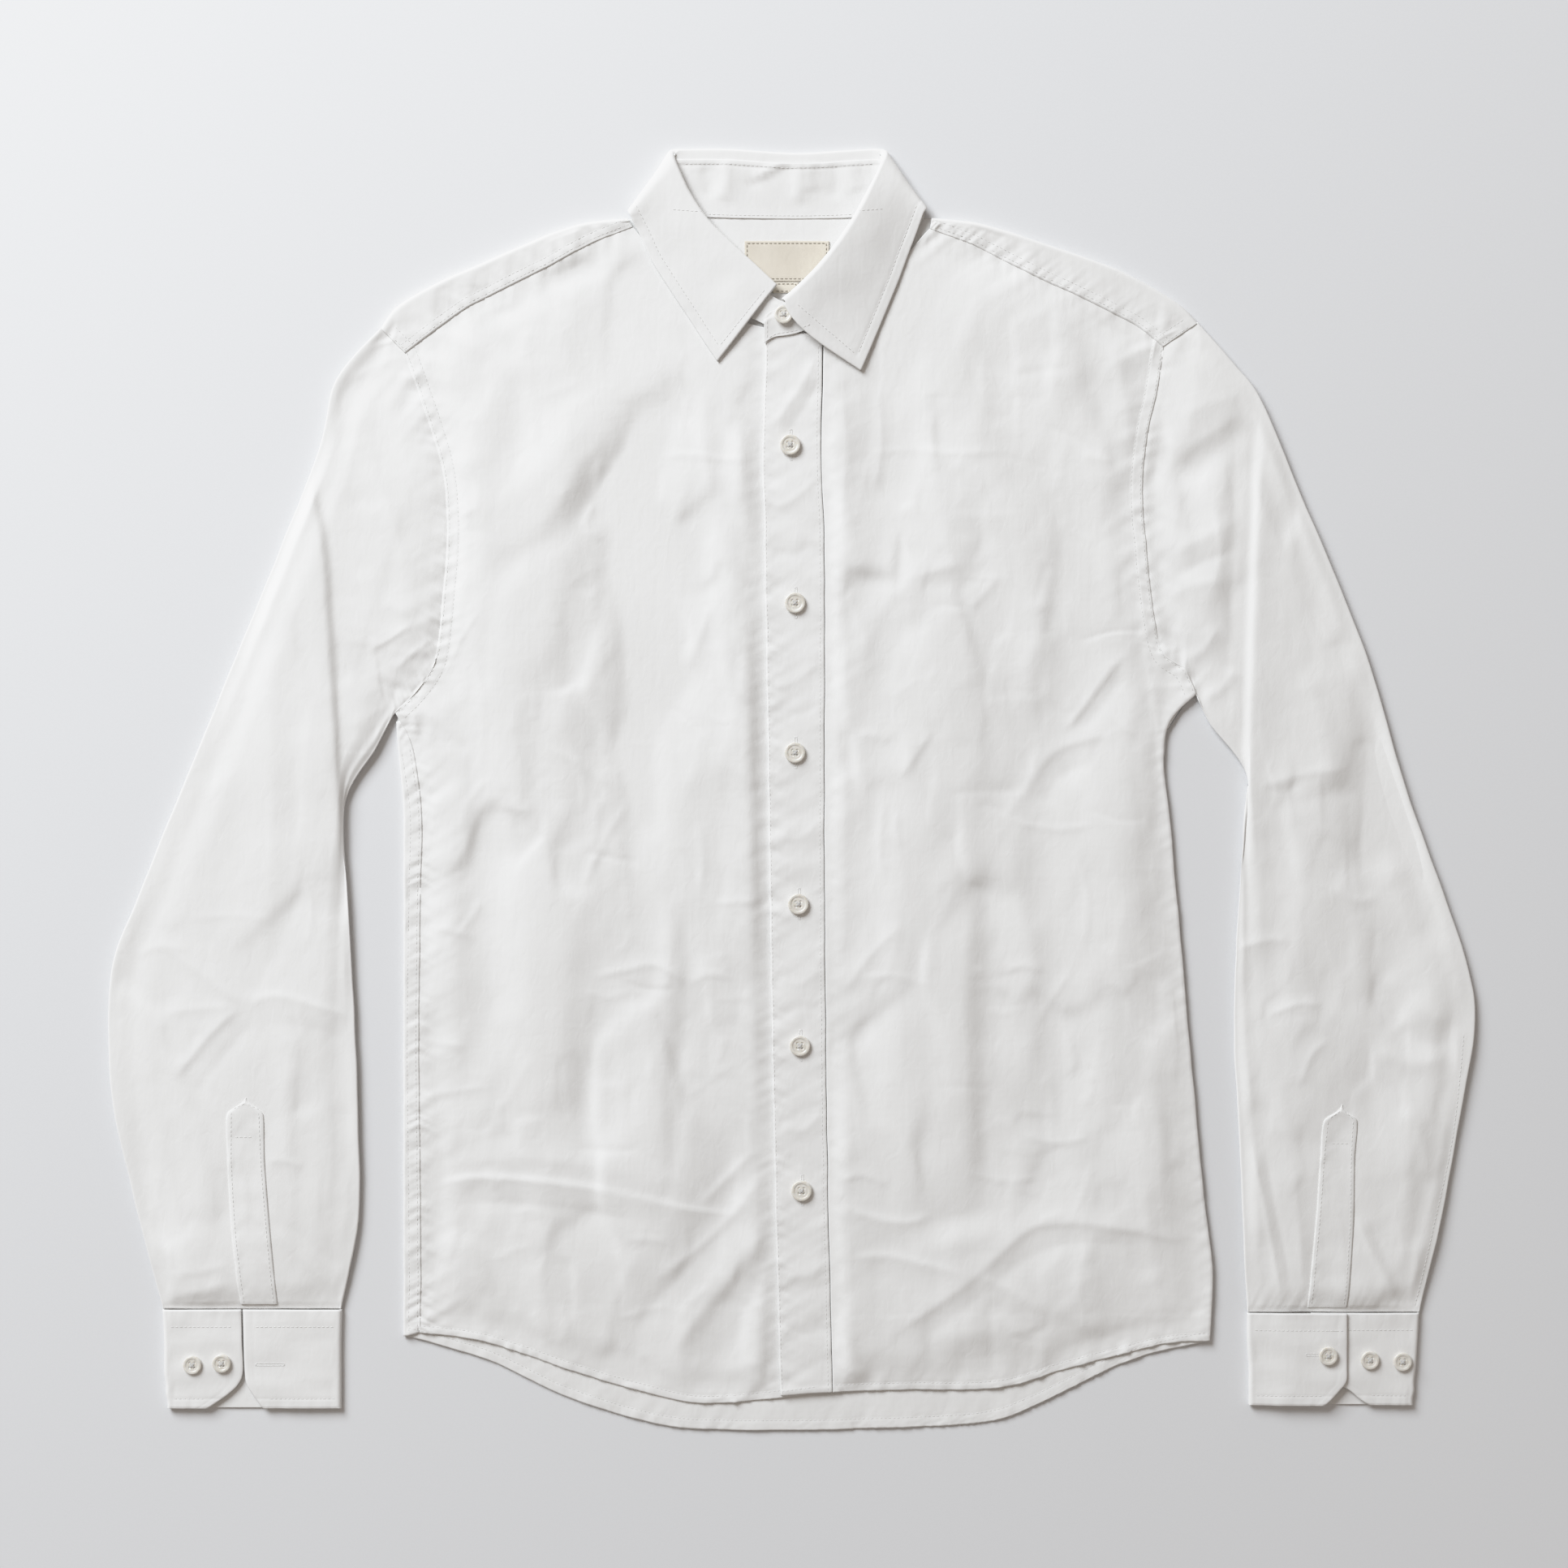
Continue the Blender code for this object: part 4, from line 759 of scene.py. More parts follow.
def fold_height(xy, folds):
    """Cloth that lies higher on the right of a path, with a sharp edge along it and a shallow dip beyond."""
    total = np.zeros(xy.shape[:-1])
    for fold in folds:
        line = curve(fold.path, LINE_STEP)
        distance, along, side = near(xy, line, 3 * max(fold.high, fold.low))
        over = 0.5 * (1 - np.tanh(distance * side / FOLD_EDGE))
        raised = over * np.exp(-(distance / fold.high) ** 1.4)
        dip = 0.5 * (1 - over) * np.exp(-distance / fold.low)
        total += fold.height * ends_faded(along, line, FOLD_END) * (raised - dip)
    return total


def small_creases(low, high, count, seed):
    """Short fine creases scattered unevenly over a box, from a fixed seed."""
    rng = np.random.default_rng(seed)
    made = []
    for _ in range(count):
        x, y = rng.uniform(low, high)
        angle = math.radians(rng.choice([90, 90, 60, 120, 15, 165, 0]) + rng.normal(0, 14))
        reach, bow = rng.uniform(7, 26), rng.normal(0, 2.0)
        dx, dy = math.cos(angle), math.sin(angle)
        ends = [(x + dx * way * reach, y + dy * way * reach) for way in (-1, 1)]
        path = [ends[0], (x - dy * bow, y + dx * bow), ends[1]]
        height = rng.uniform(0.12, 0.42) * rng.choice([1, 1, -1])
        made.append(Crease(height, rng.uniform(1.5, 3.6), rng.normal(0, 0.3), path))
    return made


def seam_height(xy, seams):
    """The raised strips, stitched grooves and puckers that sewing gives the cloth beside a seam or hem."""
    total = np.zeros(xy.shape[:-1])
    for seam in seams:
        distance, along, _ = near(xy, seam.line, max(3.2 * seam.reach, seam.strip + 4))
        raised = ease((seam.strip + 0.5 - distance) / 1.2) * ease((distance + 0.4) / 1.0)
        grooves = groove(distance, seam.strip) + 0.8 * groove(distance, 0.4, 0.8)
        uneven = 1 + 0.7 * noise(along, 0 * along, 40, seam.seed + 4)
        waves = ripple(along + 0.5 * distance, seam.size, seam.seed) * np.exp(-(distance / seam.reach) ** 1.5)
        longer = ripple(along - 0.6 * distance, 15, seam.seed + 7)
        longer = longer * np.exp(-(distance / (2.2 * seam.reach)) ** 1.5)
        total += seam.rise * (raised - 0.8 * grooves) + seam.pucker * uneven * (waves + longer)
    return total


# Meshes


def grid_faces(rows, columns, closed=False):
    """Quads over a grid of points counted row by row."""
    last = columns if closed else columns - 1
    i, j = np.arange(rows - 1)[:, None] * columns, np.arange(last)[None, :]
    k = (j + 1) % columns
    return np.stack([i + j, i + k, i + columns + k, i + columns + j], axis=-1).reshape(-1, 4)


def add_mesh(name, points, faces, material):
    """A smooth object from points in millimetres."""
    mesh = bpy.data.meshes.new(name)
    mesh.from_pydata((np.asarray(points) * MM).tolist(), [], [list(face) for face in faces])
    mesh.shade_smooth()
    mesh.materials.append(material)
    piece = bpy.data.objects.new(name, mesh)
    bpy.context.scene.collection.objects.link(piece)
    return piece


def add_shell(name, top, wall, material):
    """A closed thin shell: the grid on top and, a wall lower, every second point of it."""
    rows, columns = top.shape[:2]
    under = top[::2, ::2] - np.array([0.0, 0.0, wall])
    low_columns = under.shape[1]
    first_low = rows * columns
    faces = grid_faces(rows, columns).tolist()
    faces += (grid_faces(under.shape[0], low_columns)[:, ::-1] + first_low).tolist()
    rim = [(0, j) for j in range(columns - 1)] + [(i, columns - 1) for i in range(rows - 1)]
    rim += [(rows - 1, j) for j in range(columns - 1, 0, -1)] + [(i, 0) for i in range(rows - 1, -1, -1)]
    for k in range(0, len(rim) - 1, 2):
        upper = [i * columns + j for i, j in (rim[k + 2], rim[k + 1], rim[k])]
        lower = [first_low + (i // 2) * low_columns + j // 2 for i, j in (rim[k], rim[k + 2])]
        faces.append(upper + lower)
    return add_mesh(name, np.concatenate([top.reshape(-1, 3), under.reshape(-1, 3)]), faces, material)


def add_wall(name, grid, wall, material, closed=False, flip=False, shown=None):
    """A surface through a grid, thickened inwards; shown says which points are part of it."""
    rows, columns = grid.shape[:2]
    faces = grid_faces(rows, columns, closed)
    points = grid.reshape(-1, 3)
    if shown is not None:
        faces = faces[shown.reshape(-1)[faces].all(axis=1)]
        used = np.unique(faces)
        places = np.zeros(len(points), int)
        places[used] = np.arange(len(used))
        faces, points = places[faces], points[used]
    piece = add_mesh(name, points, faces[:, ::-1] if flip else faces, material)
    thick = piece.modifiers.new("thick", "SOLIDIFY")
    thick.thickness, thick.offset = wall * MM, -1.0
    return piece


def add_tube(name, grid, wall, material, flip):
    """A tube whose grid is its outer face, with a coarser inner face a wall further in."""
    rows, columns = grid.shape[:2]
    around = np.roll(grid, -1, axis=1) - np.roll(grid, 1, axis=1)
    out = np.cross(around, np.gradient(grid, axis=0))
    out *= (-1 if flip else 1) / np.maximum(np.linalg.norm(out, axis=2), 1e-9)[..., None]
    inner = (grid - out * wall)[::2, ::2]
    first, count = rows * columns, columns // 2
    faces = grid_faces(rows, columns, closed=True).tolist()
    faces += (grid_faces(len(inner), count, closed=True)[:, ::-1] + first).tolist()
    for row, turned in ((0, False), (rows - 1, True)):
        for k in range(count):
            upper = [row * columns + c % columns for c in (2 * k + 2, 2 * k + 1, 2 * k)]
            lower = [first + row // 2 * count + c % count for c in (k, k + 1)]
            faces.append((upper + lower)[::-1] if turned else upper + lower)
    if flip:
        faces = [face[::-1] for face in faces]
    return add_mesh(name, np.concatenate([grid.reshape(-1, 3), inner.reshape(-1, 3)]), faces, material)


def place(piece, slot, *nodes):
    """Hand a piece to the shirt in place of its solids."""
    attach(piece, "root")
    if nodes:
        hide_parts(*nodes)
    return piece


def lay(node, xy, z, wall, material):
    """A closed cotton shell through flat points at heights z, in place of a solid."""
    return place(add_shell(node + "_cloth", np.dstack([xy, z]), wall, material), "cotton", node)


# Materials


def set_inputs(node, **values):
    """Sets a node's own inputs; spaces in their names are written as underscores."""
    for key, value in values.items():
        node.inputs[key.replace("_", " ")].default_value = value


def shader_of(name):
    """A new material with its shader, node tree and object coordinates."""
    material = bpy.data.materials.new(name)
    material.use_nodes = True
    tree = material.node_tree
    coords = tree.nodes.new("ShaderNodeTexCoord").outputs["Object"]
    return material, tree.nodes["Principled BSDF"], tree, coords


def texture(tree, coords, kind, stretch=(1, 1, 1), turn=0.0, **values):
    """A procedural texture on stretched and turned object coordinates."""
    mapping = tree.nodes.new("ShaderNodeMapping")
    set_inputs(mapping, Scale=stretch, Rotation=(0, 0, math.radians(turn)))
    tree.links.new(coords, mapping.inputs["Vector"])
    node = tree.nodes.new("ShaderNodeTex" + kind)
    tree.links.new(mapping.outputs["Vector"], node.inputs["Vector"])
    set_inputs(node, **values)
    return node.outputs["Fac"]


def bump(tree, source, distance, strength, before=None):
    """A bump over an earlier one."""
    node = tree.nodes.new("ShaderNodeBump")
    set_inputs(node, Distance=distance, Strength=strength)
    tree.links.new(source, node.inputs["Height"])
    if before:
        tree.links.new(before, node.inputs["Normal"])
    return node.outputs["Normal"]


def mixed_color(tree, factor, dark, light):
    """Two colours mixed by a texture, its middle stretched."""
    ramp = tree.nodes.new("ShaderNodeValToRGB")
    ramp.color_ramp.elements[0].position, ramp.color_ramp.elements[1].position = 0.32, 0.68
    ramp.color_ramp.elements[0].color, ramp.color_ramp.elements[1].color = (*dark, 1), (*light, 1)
    tree.links.new(factor, ramp.inputs["Fac"])
    return ramp.outputs["Color"]


def cloth_material(name, tones, turn=0.0, sheen=0.25):
    """Plain-woven cotton: crossed threads, slubs along the warp and a faint crinkle."""
    material, shader, tree, coords = shader_of(name)
    tone = texture(tree, coords, "Noise", (1, 0.5, 1), turn, Scale=26, Detail=4)
    tree.links.new(mixed_color(tree, tone, *tones), shader.inputs["Base Color"])
    set_inputs(shader, Roughness=0.85, Specular_IOR_Level=0.25, Sheen_Weight=sheen, Sheen_Roughness=0.5)
    warp = texture(tree, coords, "Wave", turn=turn, Scale=560, Distortion=1.2, Detail=1)
    weft = texture(tree, coords, "Wave", turn=turn + 90, Scale=560, Distortion=1.2, Detail=1)
    slub = texture(tree, coords, "Noise", (1, 0.12, 1), turn, Scale=420, Detail=3)
    crinkle = texture(tree, coords, "Noise", (1, 0.6, 1), turn, Scale=150, Detail=4, Distortion=0.6)
    normal = None
    for source, depth, strength in (
        (warp, 0.00003, 0.35), (weft, 0.00003, 0.35), (slub, 0.00008, 0.45), (crinkle, 0.0005, 0.42)
    ):
        normal = bump(tree, source, depth, strength, normal)
    tree.links.new(normal, shader.inputs["Normal"])
    return material


def thread_material(name, color):
    """Twisted sewing thread."""
    material, shader, tree, coords = shader_of(name)
    twist = texture(tree, coords, "Noise", Scale=2600, Detail=2)
    dark = tuple(0.86 * c for c in color)
    tree.links.new(mixed_color(tree, twist, dark, color), shader.inputs["Base Color"])
    set_inputs(shader, Roughness=0.6)
    tree.links.new(bump(tree, twist, 0.0001, 0.5), shader.inputs["Normal"])
    return material


def button_material():
    """Cream pearly button, clouded inside."""
    material, shader, tree, coords = shader_of("button_cream")
    cloud = texture(tree, coords, "Noise", Scale=240, Detail=4, Distortion=1.4)
    tree.links.new(mixed_color(tree, cloud, *PEARL), shader.inputs["Base Color"])
    set_inputs(shader, Roughness=0.28, Coat_Weight=0.35, Coat_Roughness=0.15)
    set_inputs(shader, Subsurface_Weight=0.15, Subsurface_Radius=(0.002, 0.0016, 0.0012))
    tree.links.new(bump(tree, cloud, 0.0001, 0.2), shader.inputs["Normal"])
    return material


def floor_material():
    """Smooth pale paper."""
    material, shader, tree, coords = shader_of("floor_paper")
    grain = texture(tree, coords, "Noise", Scale=900, Detail=2)
    tree.links.new(mixed_color(tree, grain, *PAPER), shader.inputs["Base Color"])
    set_inputs(shader, Roughness=0.9, Specular_IOR_Level=0.1)
    tree.links.new(bump(tree, grain, 0.00005, 0.1), shader.inputs["Normal"])
    return material


# Sewing


def drop(tree, xy, lift):
    """Flat points set down on a piece from above, a lift over its surface; None where it misses."""
    placed = []
    for x, y in xy:
        hit = tree.ray_cast(Vector((x * MM, y * MM, 0.1)), DOWN)[0]
        placed.append(np.array([x, y, hit.z / MM + lift]) if hit else None)
    return placed


def dropped_pairs(tree, starts, ends, lift, climb):
    """Pairs of points set down on a piece, without those that miss it or climb too far between them."""
    pairs = zip(drop(tree, starts, lift), drop(tree, ends, lift))
    return [(a, b) for a, b in pairs if a is not None and b is not None and abs(a[2] - b[2]) < climb]


def tree_of(*pieces):
    """A search tree over finished pieces."""
    graph = bpy.context.evaluated_depsgraph_get()
    points, faces = [], []
    for piece in pieces:
        mesh = piece.evaluated_get(graph).to_mesh()
        faces += [[len(points) + v for v in face.vertices] for face in mesh.polygons]
        points += [v.co.copy() for v in mesh.vertices]
    return BVHTree.FromPolygons(points, faces)


# A small stitch with pointed ends, four-sided, from -1 to 1 along x
BEAD = [(-1, 0, 0)]
BEAD += [(s, math.cos(a), math.sin(a)) for s in (-0.55, 0.55) for a in (0, 1.571, 3.142, 4.712)]
BEAD += [(1, 0, 0)]
BEAD_FACES = [(0, 1 + (k + 1) % 4, 1 + k) for k in range(4)]
BEAD_FACES += [(1 + k, 1 + (k + 1) % 4, 5 + (k + 1) % 4, 5 + k) for k in range(4)]
BEAD_FACES += [(5 + k, 5 + (k + 1) % 4, 9) for k in range(4)]


def beads(ends, radius):
    """Points and faces of small stitches between pairs of points."""
    points, faces = [], []
    for start, end in ends:
        middle, half = (start + end) / 2, (end - start) / 2
        length = np.linalg.norm(half)
        side = np.cross(half, (0, 0, 1.0))
        side /= max(np.linalg.norm(side), 1e-9)
        up = np.cross(side, half) / max(length, 1e-9)
        faces += [[len(points) + v for v in face] for face in BEAD_FACES]
        points += [middle + half * a + side * b * radius + up * c * radius for a, b, c in BEAD]
    return points, faces


def stitch_ends(tree, line, lift):
    """Ends of the stitches of one row along a line, set down on a piece."""
    total = runs(line)[-1]
    starts = np.arange(STITCH_PITCH / 2, total - STITCH_LENGTH, STITCH_PITCH)
    first, second = at(line, starts / total), at(line, (starts + STITCH_LENGTH) / total)
    return dropped_pairs(tree, first, second, lift, STITCH_CLIMB)


def add_stitches(name, tree, lines, material, radius=THREAD_RADIUS, lift=STITCH_LIFT):
    """One joined piece of stitch rows."""
    ends = [pair for line in lines for pair in stitch_ends(tree, line, lift)]
    return place(add_mesh(name, *beads(ends, radius), material), "cotton")


def add_buttonholes(name, tree, holes, material):
    """Buttonholes: close bars of thread along both sides of a slit, with a bar across each end."""
    ends = []
    for hole in holes:
        turn, half = math.radians(hole.turn), hole.length / 2
        along = np.array([math.cos(turn), math.sin(turn)])
        across = np.array([-math.sin(turn), math.cos(turn)])
        middle = np.array([hole.x, hole.y])
        for s in np.arange(-half, half, BAR_PITCH):
            for side in (-1, 1):
                ends.append([middle + along * s + across * side * reach for reach in (BAR_NEAR, BAR_FAR)])
        for s in (-half - 0.2, half + 0.2):
            for shift in (-0.2, 0.2):
                ends.append([middle + along * (s + shift) + across * reach for reach in (-BAR_FAR, BAR_FAR)])
    pairs = dropped_pairs(tree, [e[0] for e in ends], [e[1] for e in ends], 0.0, BAR_CLIMB)
    return place(add_mesh(name, *beads(pairs, BAR_RADIUS), material), "cotton")


# Lines and seams that pieces share


def armhole_line(side):
    """An armhole seam from the shoulder's tip: straight along the yoke's end, then the body's curve."""
    first = np.array([side.shoulder[0], side.armhole[0]], float)
    return joined(at(first, np.linspace(0, 1, 20)), curve(side.armhole))


def drift(xy):
    """Moves flat points by the slight waviness that soft edges have."""
    x, y = xy[..., 0], xy[..., 1]
    return xy + 0.3 * np.stack([noise(x, y, 23, 301), noise(x, y, 23, 302)], axis=-1)


def placket_x(edge, y):
    """Where an edge of the placket is at a height along the body."""
    line = np.array(sorted(edge, key=lambda p: p[1]), float)
    return np.interp(y, line[:, 1], line[:, 0])


def under_collar(xy):
    """1 where the collar lies on the fronts and 0 away from it."""
    x, y = xy[..., 0], xy[..., 1]
    return ease((y - 205) / 75) * ease((135 - np.abs(x + 8)) / 55)


def sewn(points, strip, rise, pucker, reach, seed, size=6.5):
    """A seam or hem through a table of points."""
    return Seam(curve(points, LINE_STEP), strip, rise, pucker, reach, seed, size)


def armhole_seam(side, strip=FELL_WIDTH, rise=0.16):
    """The armhole seam from the shoulder's tip down, whose puckers run on across it."""
    return Seam(armhole_line(side)[::3], strip, rise, 0.75, 8, side.armhole_seed, 6.0)


def front_yoke_seam(side, strip, rise):
    """The seam from a front to the yoke, whose puckers run on across it."""
    return sewn(side.yoke_seam, strip, rise, side.yoke_pucker, 9.5, side.yoke_seed, side.yoke_size)


def calm_at(xy, corner, reach=15):
    """Takes most of the puckers away round the corner where the yoke, a front and a sleeve meet."""
    return 0.12 + 0.88 * ease(np.linalg.norm(xy - np.array(corner, float), axis=-1) / reach)


# Body


def front_height(xy, side, beside, creases, seams):
    """Upper face of a front; beside is the distance from the placket's edge."""
    arm, shoulder = distance_to(xy, side.armhole, 40), distance_to(xy, side.yoke_seam, 30)
    rim = np.minimum(np.minimum(arm, shoulder), distance_to(xy, side.side_seam, 40))
    bottom, along, _ = near(xy, curve(side.hem, LINE_STEP), 40)
    free = ease(beside / 14) * (1 - 0.8 * under_collar(xy))
    height = FRONT_EDGE_TOP + (ARMHOLE_TOP - FRONT_EDGE_TOP) * falling(arm / 20) * ease(shoulder / 16)
    height += (YOKE_SEAM_TOP - FRONT_EDGE_TOP) * falling(shoulder / 16)
    inner = np.minimum(rim, bottom)
    height += FRONT_RISE * ease(inner / 26) * free - HEM_DROP * falling(bottom / 9) * ease(beside / 9)
    relief = crease_height(xy, creases) + undulation(xy, side.front_seed) + crumple(xy, side.front_seed + 11)
    height += side.front_calm * relief * ease(inner / 14) * free
    hem_waves = 0.6 * noise(along, 0 * along, 46, side.front_seed + 9)
    height += hem_waves * falling(bottom / 22) * ease(beside / 14)
    sewing = seam_height(xy, [armhole_seam(side), front_yoke_seam(side, 0.2, 0.0)] + seams)
    return height + sewing * (0.25 + 0.75 * ease(beside / 6)) * calm_at(xy, side.armhole[0])


def add_front_left(material):
    """The wearer's right front, with its button stand under the placket."""
    left = joined(curve(SIDE_LEFT), curve(ARMHOLE_LEFT[::-1]))
    top = joined(curve(YOKE_SEAM_LEFT), curve(NECK_LEFT))
    u, v = graded(245), graded(BODY_LENGTH, 1.6)
    xy = patch(left, curve(BUTTON_STAND_EDGE), curve(FRONT_HEM_LEFT), top, u, v)
    seams = [
        sewn(FRONT_HEM_LEFT, FRONT_HEM, 0.14, 0.9, 5, 15, 4.0),
        sewn(SIDE_LEFT, 0.2, 0.0, 0.85, 9, 17, 4.5),
        sewn(PLACKET_EDGE_LEFT, 0.2, 0.0, 0.6, 8, 81, 5.0),
    ]
    beside = placket_x(PLACKET_EDGE_LEFT, xy[..., 1]) - xy[..., 0]
    creases = CREASES_FRONT_LEFT + WAVES_LEFT + small_creases((-225, -350), (-25, 300), 85, 21)
    z = kept(front_height(xy, LEFT, beside, creases, seams), FRONT_LOW, FRONT_HIGH)
    z += np.minimum(0, PLACKET_TOP - PLACKET_WALL - 0.15 - z) * falling(beside / 10)
    return lay("front_left", drift(xy), z, SHELL_WALL, material)


def add_front_right(material):
    """The wearer's left front, which carries the placket."""
    right = joined(curve(SIDE_RIGHT), curve(ARMHOLE_RIGHT[::-1]))
    left = curve([(x + PLACKET_GAP, y) for x, y in PLACKET_EDGE_RIGHT[:-2]] + [NECK_RIGHT[0]])
    top = joined(curve(NECK_RIGHT), curve(YOKE_SEAM_RIGHT[::-1]))
    u, v = graded(235), graded(BODY_LENGTH, 1.6)
    xy = patch(left, right, curve(FRONT_HEM_RIGHT), top, u, v)
    seams = [
        sewn(FRONT_HEM_RIGHT, FRONT_HEM, 0.14, 0.9, 5, 35, 4.0),
        sewn(SIDE_RIGHT, 0.2, 0.0, 0.26, 9, 37),
        sewn(PLACKET_EDGE_RIGHT, 0.2, 0.1, 0.32, 10, 39),
    ]
    beside = xy[..., 0] - placket_x(PLACKET_EDGE_RIGHT, xy[..., 1])
    creases = CREASES_FRONT_RIGHT + WAVES_RIGHT + small_creases((30, -350), (225, 300), 85, 41)
    z = front_height(xy, RIGHT, beside, creases, seams)
    z += (BESIDE_PLACKET_TOP - FRONT_EDGE_TOP) * falling(beside / 42)
    edge = distance_to(xy, SIDE_RIGHT, 2 * SIDE_LIFT_REACH)
    z += SIDE_LIFT * falling(edge / SIDE_LIFT_REACH) - 0.5 * falling(edge / 1.6)
    z = kept(z, FRONT_LOW, FRONT_HIGH)
    return lay("front_right", drift(xy), z, SHELL_WALL, material)


def add_back(material):
    """The back, which shows below the front hems."""
    inset = [(x + 2.0, y) for x, y in BACK_SIDE_LEFT[:-1]] + [BACK_SIDE_LEFT[-1]]
    left = joined(curve(inset), curve(ARMHOLE_LEFT[::-1]))
    right = joined(curve(SIDE_RIGHT), curve(ARMHOLE_RIGHT[::-1]))
    u, v = graded(490, 1.8, 0.9, 8), graded(BODY_LENGTH, 10, 0.8, 14)
    xy = patch(left, right, curve(BACK_HEM), curve(YOKE_BACK_SEAM), u, v)
    hem, along, _ = near(xy, curve(BACK_HEM, LINE_STEP), 60)
    shows = falling((hem - 14) / 20)
    z = BACK_TOP + 0.12 * undulation(xy, 51)
    sewing = seam_height(xy, [sewn(BACK_HEM, BACK_HEM_WIDTH, 0.14, 0.8, 6, 55, 3.4)])
    z += shows * (0.5 + 0.5 * noise(along, hem, 40, 53) + sewing)
    edge = distance_to(xy, SIDE_RIGHT, 2 * SIDE_LIFT_REACH)
    z = kept(z, BACK_LOW, BACK_HIGH) + (SIDE_LIFT + 0.9) * falling(edge / SIDE_LIFT_REACH) * ease(hem / 20)
    return lay("back", drift(xy), z, SHELL_WALL, material)


def round_fold(edge, away, radius, count):
    """Rows of points half round a fold, from the floor up; away points from its edge into the cloth."""
    rows = []
    for k in range(count):
        angle = math.pi * k / (count - 1)
        flat = edge + away * radius[:, None] * (1 - math.sin(angle))
        rows.append(np.column_stack([flat, radius * (1 - math.cos(angle))]))
    return rows


def add_side_roll(material):
    """The back's left side seam, felled and turned round the fold onto the front."""
    shares = np.linspace(0, 0.985, 280)
    outer, inner = at(curve(BACK_SIDE_LEFT), shares), at(curve(SIDE_LEFT), shares) + [TUCK, 0]
    radius = SIDE_STRIP_TOP / 2 * (0.55 + 0.45 * ease((1 - shares) / 0.16))
    radius = radius + 0.12 * ripple(runs(outer), 13, 65)
    away = np.array([[1.0, 0.0]])
    rows = round_fold(outer, away, radius, 9)
    for share in np.linspace(0.06, 1, 12):
        flat = (outer + away * radius[:, None]) * (1 - share) + inner * share
        puckers = seam_height(flat, [sewn(SIDE_LEFT, SIDE_STRIP, 0.06, 0.85, 9, 17, 4.5)])
        level = 2 * radius + (FRONT_EDGE_TOP + SEAM_STEP - 2 * radius) * share
        rows.append(np.column_stack([flat, level + puckers * ease(share * 4)]))
    grid = np.stack(rows)
    grid[..., :2] = drift(grid[..., :2])
    return place(add_wall("back_side_seam", grid, SHELL_WALL, material, flip=True), "cotton")


def add_yoke_inside(material):
    """The flat back of the yoke, which shows inside the neck."""
    top = joined(curve(SHOULDER_LEFT), curve(NECK_BACK), curve(SHOULDER_RIGHT[::-1]))
    neck = ease((105 - np.abs(top[:, 0] + 8)) / 10)
    top = top - np.stack([0 * neck, 3.2 * (1 - neck)], axis=1)
    bottom = curve(YOKE_BACK_SEAM)
    left, right = np.array([bottom[0], top[0]]), np.array([bottom[-1], top[-1]])
    xy = patch(left, right, bottom, top, graded(480, 3.4), graded(90, 3.0))
    neck_seam = sewn(NECK_BACK, 0.3, 0.05, 0.22, 9, 73)
    z = YOKE_INSIDE_TOP + 0.16 * undulation(xy, 71) + seam_height(xy, [neck_seam])
    return lay("yoke", xy, np.clip(z, 0.7, 1.3), SHELL_WALL, material)


def add_yoke_fold(side, material):
    """The part of the yoke that is folded over onto a front, down to its seam."""
    edge, end = curve(side.shoulder), curve(side.yoke_seam)
    shares = graded(runs(edge)[-1], 1.8, 0.8, 6)
    edge, end = at(edge, shares), at(end, shares)
    away = (end - edge) / np.hypot(*(end - edge).T)[:, None]
    radius = YOKE_FOLD_TOP / 2
    rows = round_fold(edge, away, np.full(len(edge), radius), 11)
    edge_seam = Seam(edge[::4], 0.1, 0.0, 0.10, 6, side.yoke_seed + 3, 6.5)
    seams = [front_yoke_seam(side, YOKE_STITCH, 0.1), edge_seam, armhole_seam(side)]
    for share in np.linspace(0.07, 1, 16):
        flat = (edge + away * radius) * (1 - share) + (end + away * TUCK) * share
        level = YOKE_FOLD_TOP + (YOKE_SEAM_TOP + SEAM_STEP - YOKE_FOLD_TOP) * share
        puckers = seam_height(flat, seams) * calm_at(flat, side.yoke_seam[0])
        rows.append(np.column_stack([flat, level + puckers * ease(share * 5)]))
    grid = np.stack(rows)
    grid[..., :2] = drift(grid[..., :2])
    return place(add_wall("yoke_fold_" + side.name, grid, SHELL_WALL, material, flip=side is LEFT), "cotton")


def add_placket(material):
    """The front placket, stitched down along both edges."""
    left, right = curve(PLACKET_EDGE_LEFT), curve(PLACKET_EDGE_RIGHT)
    shares = graded(runs(left)[-1], 1.6, 0.8, 4)
    u = graded(36, 1.6, 0.7, 7)[None, :, None]
    xy = at(left, shares)[:, None] * (1 - u) + at(right, shares)[:, None] * u
    seams = [
        sewn(PLACKET_EDGE_LEFT, 1.0, 0.0, 0.6, 8, 81, 5.0),
        sewn(PLACKET_EDGE_RIGHT, 2.5, 0.0, 0.28, 6, 83, 5.0),
        sewn([PLACKET_EDGE_LEFT[0], PLACKET_EDGE_RIGHT[0]], FRONT_HEM, 0.25, 0.1, 4, 85),
    ]
    x, y = xy[..., 0], xy[..., 1]
    z = PLACKET_TOP + seam_height(xy, seams) + 0.42 * noise(x * 0.5, y, 19, 87) + 0.2 * noise(x, y, 14, 88)
    z += 1.2 * crease_height(xy, CREASES_PLACKET)
    edge = np.minimum(distance_to(xy, PLACKET_EDGE_LEFT, 5), distance_to(xy, PLACKET_EDGE_RIGHT, 5))
    z -= 0.2 * falling(edge / 1.0)
    return lay("placket", drift(xy), z, PLACKET_WALL, material)


# Sleeves


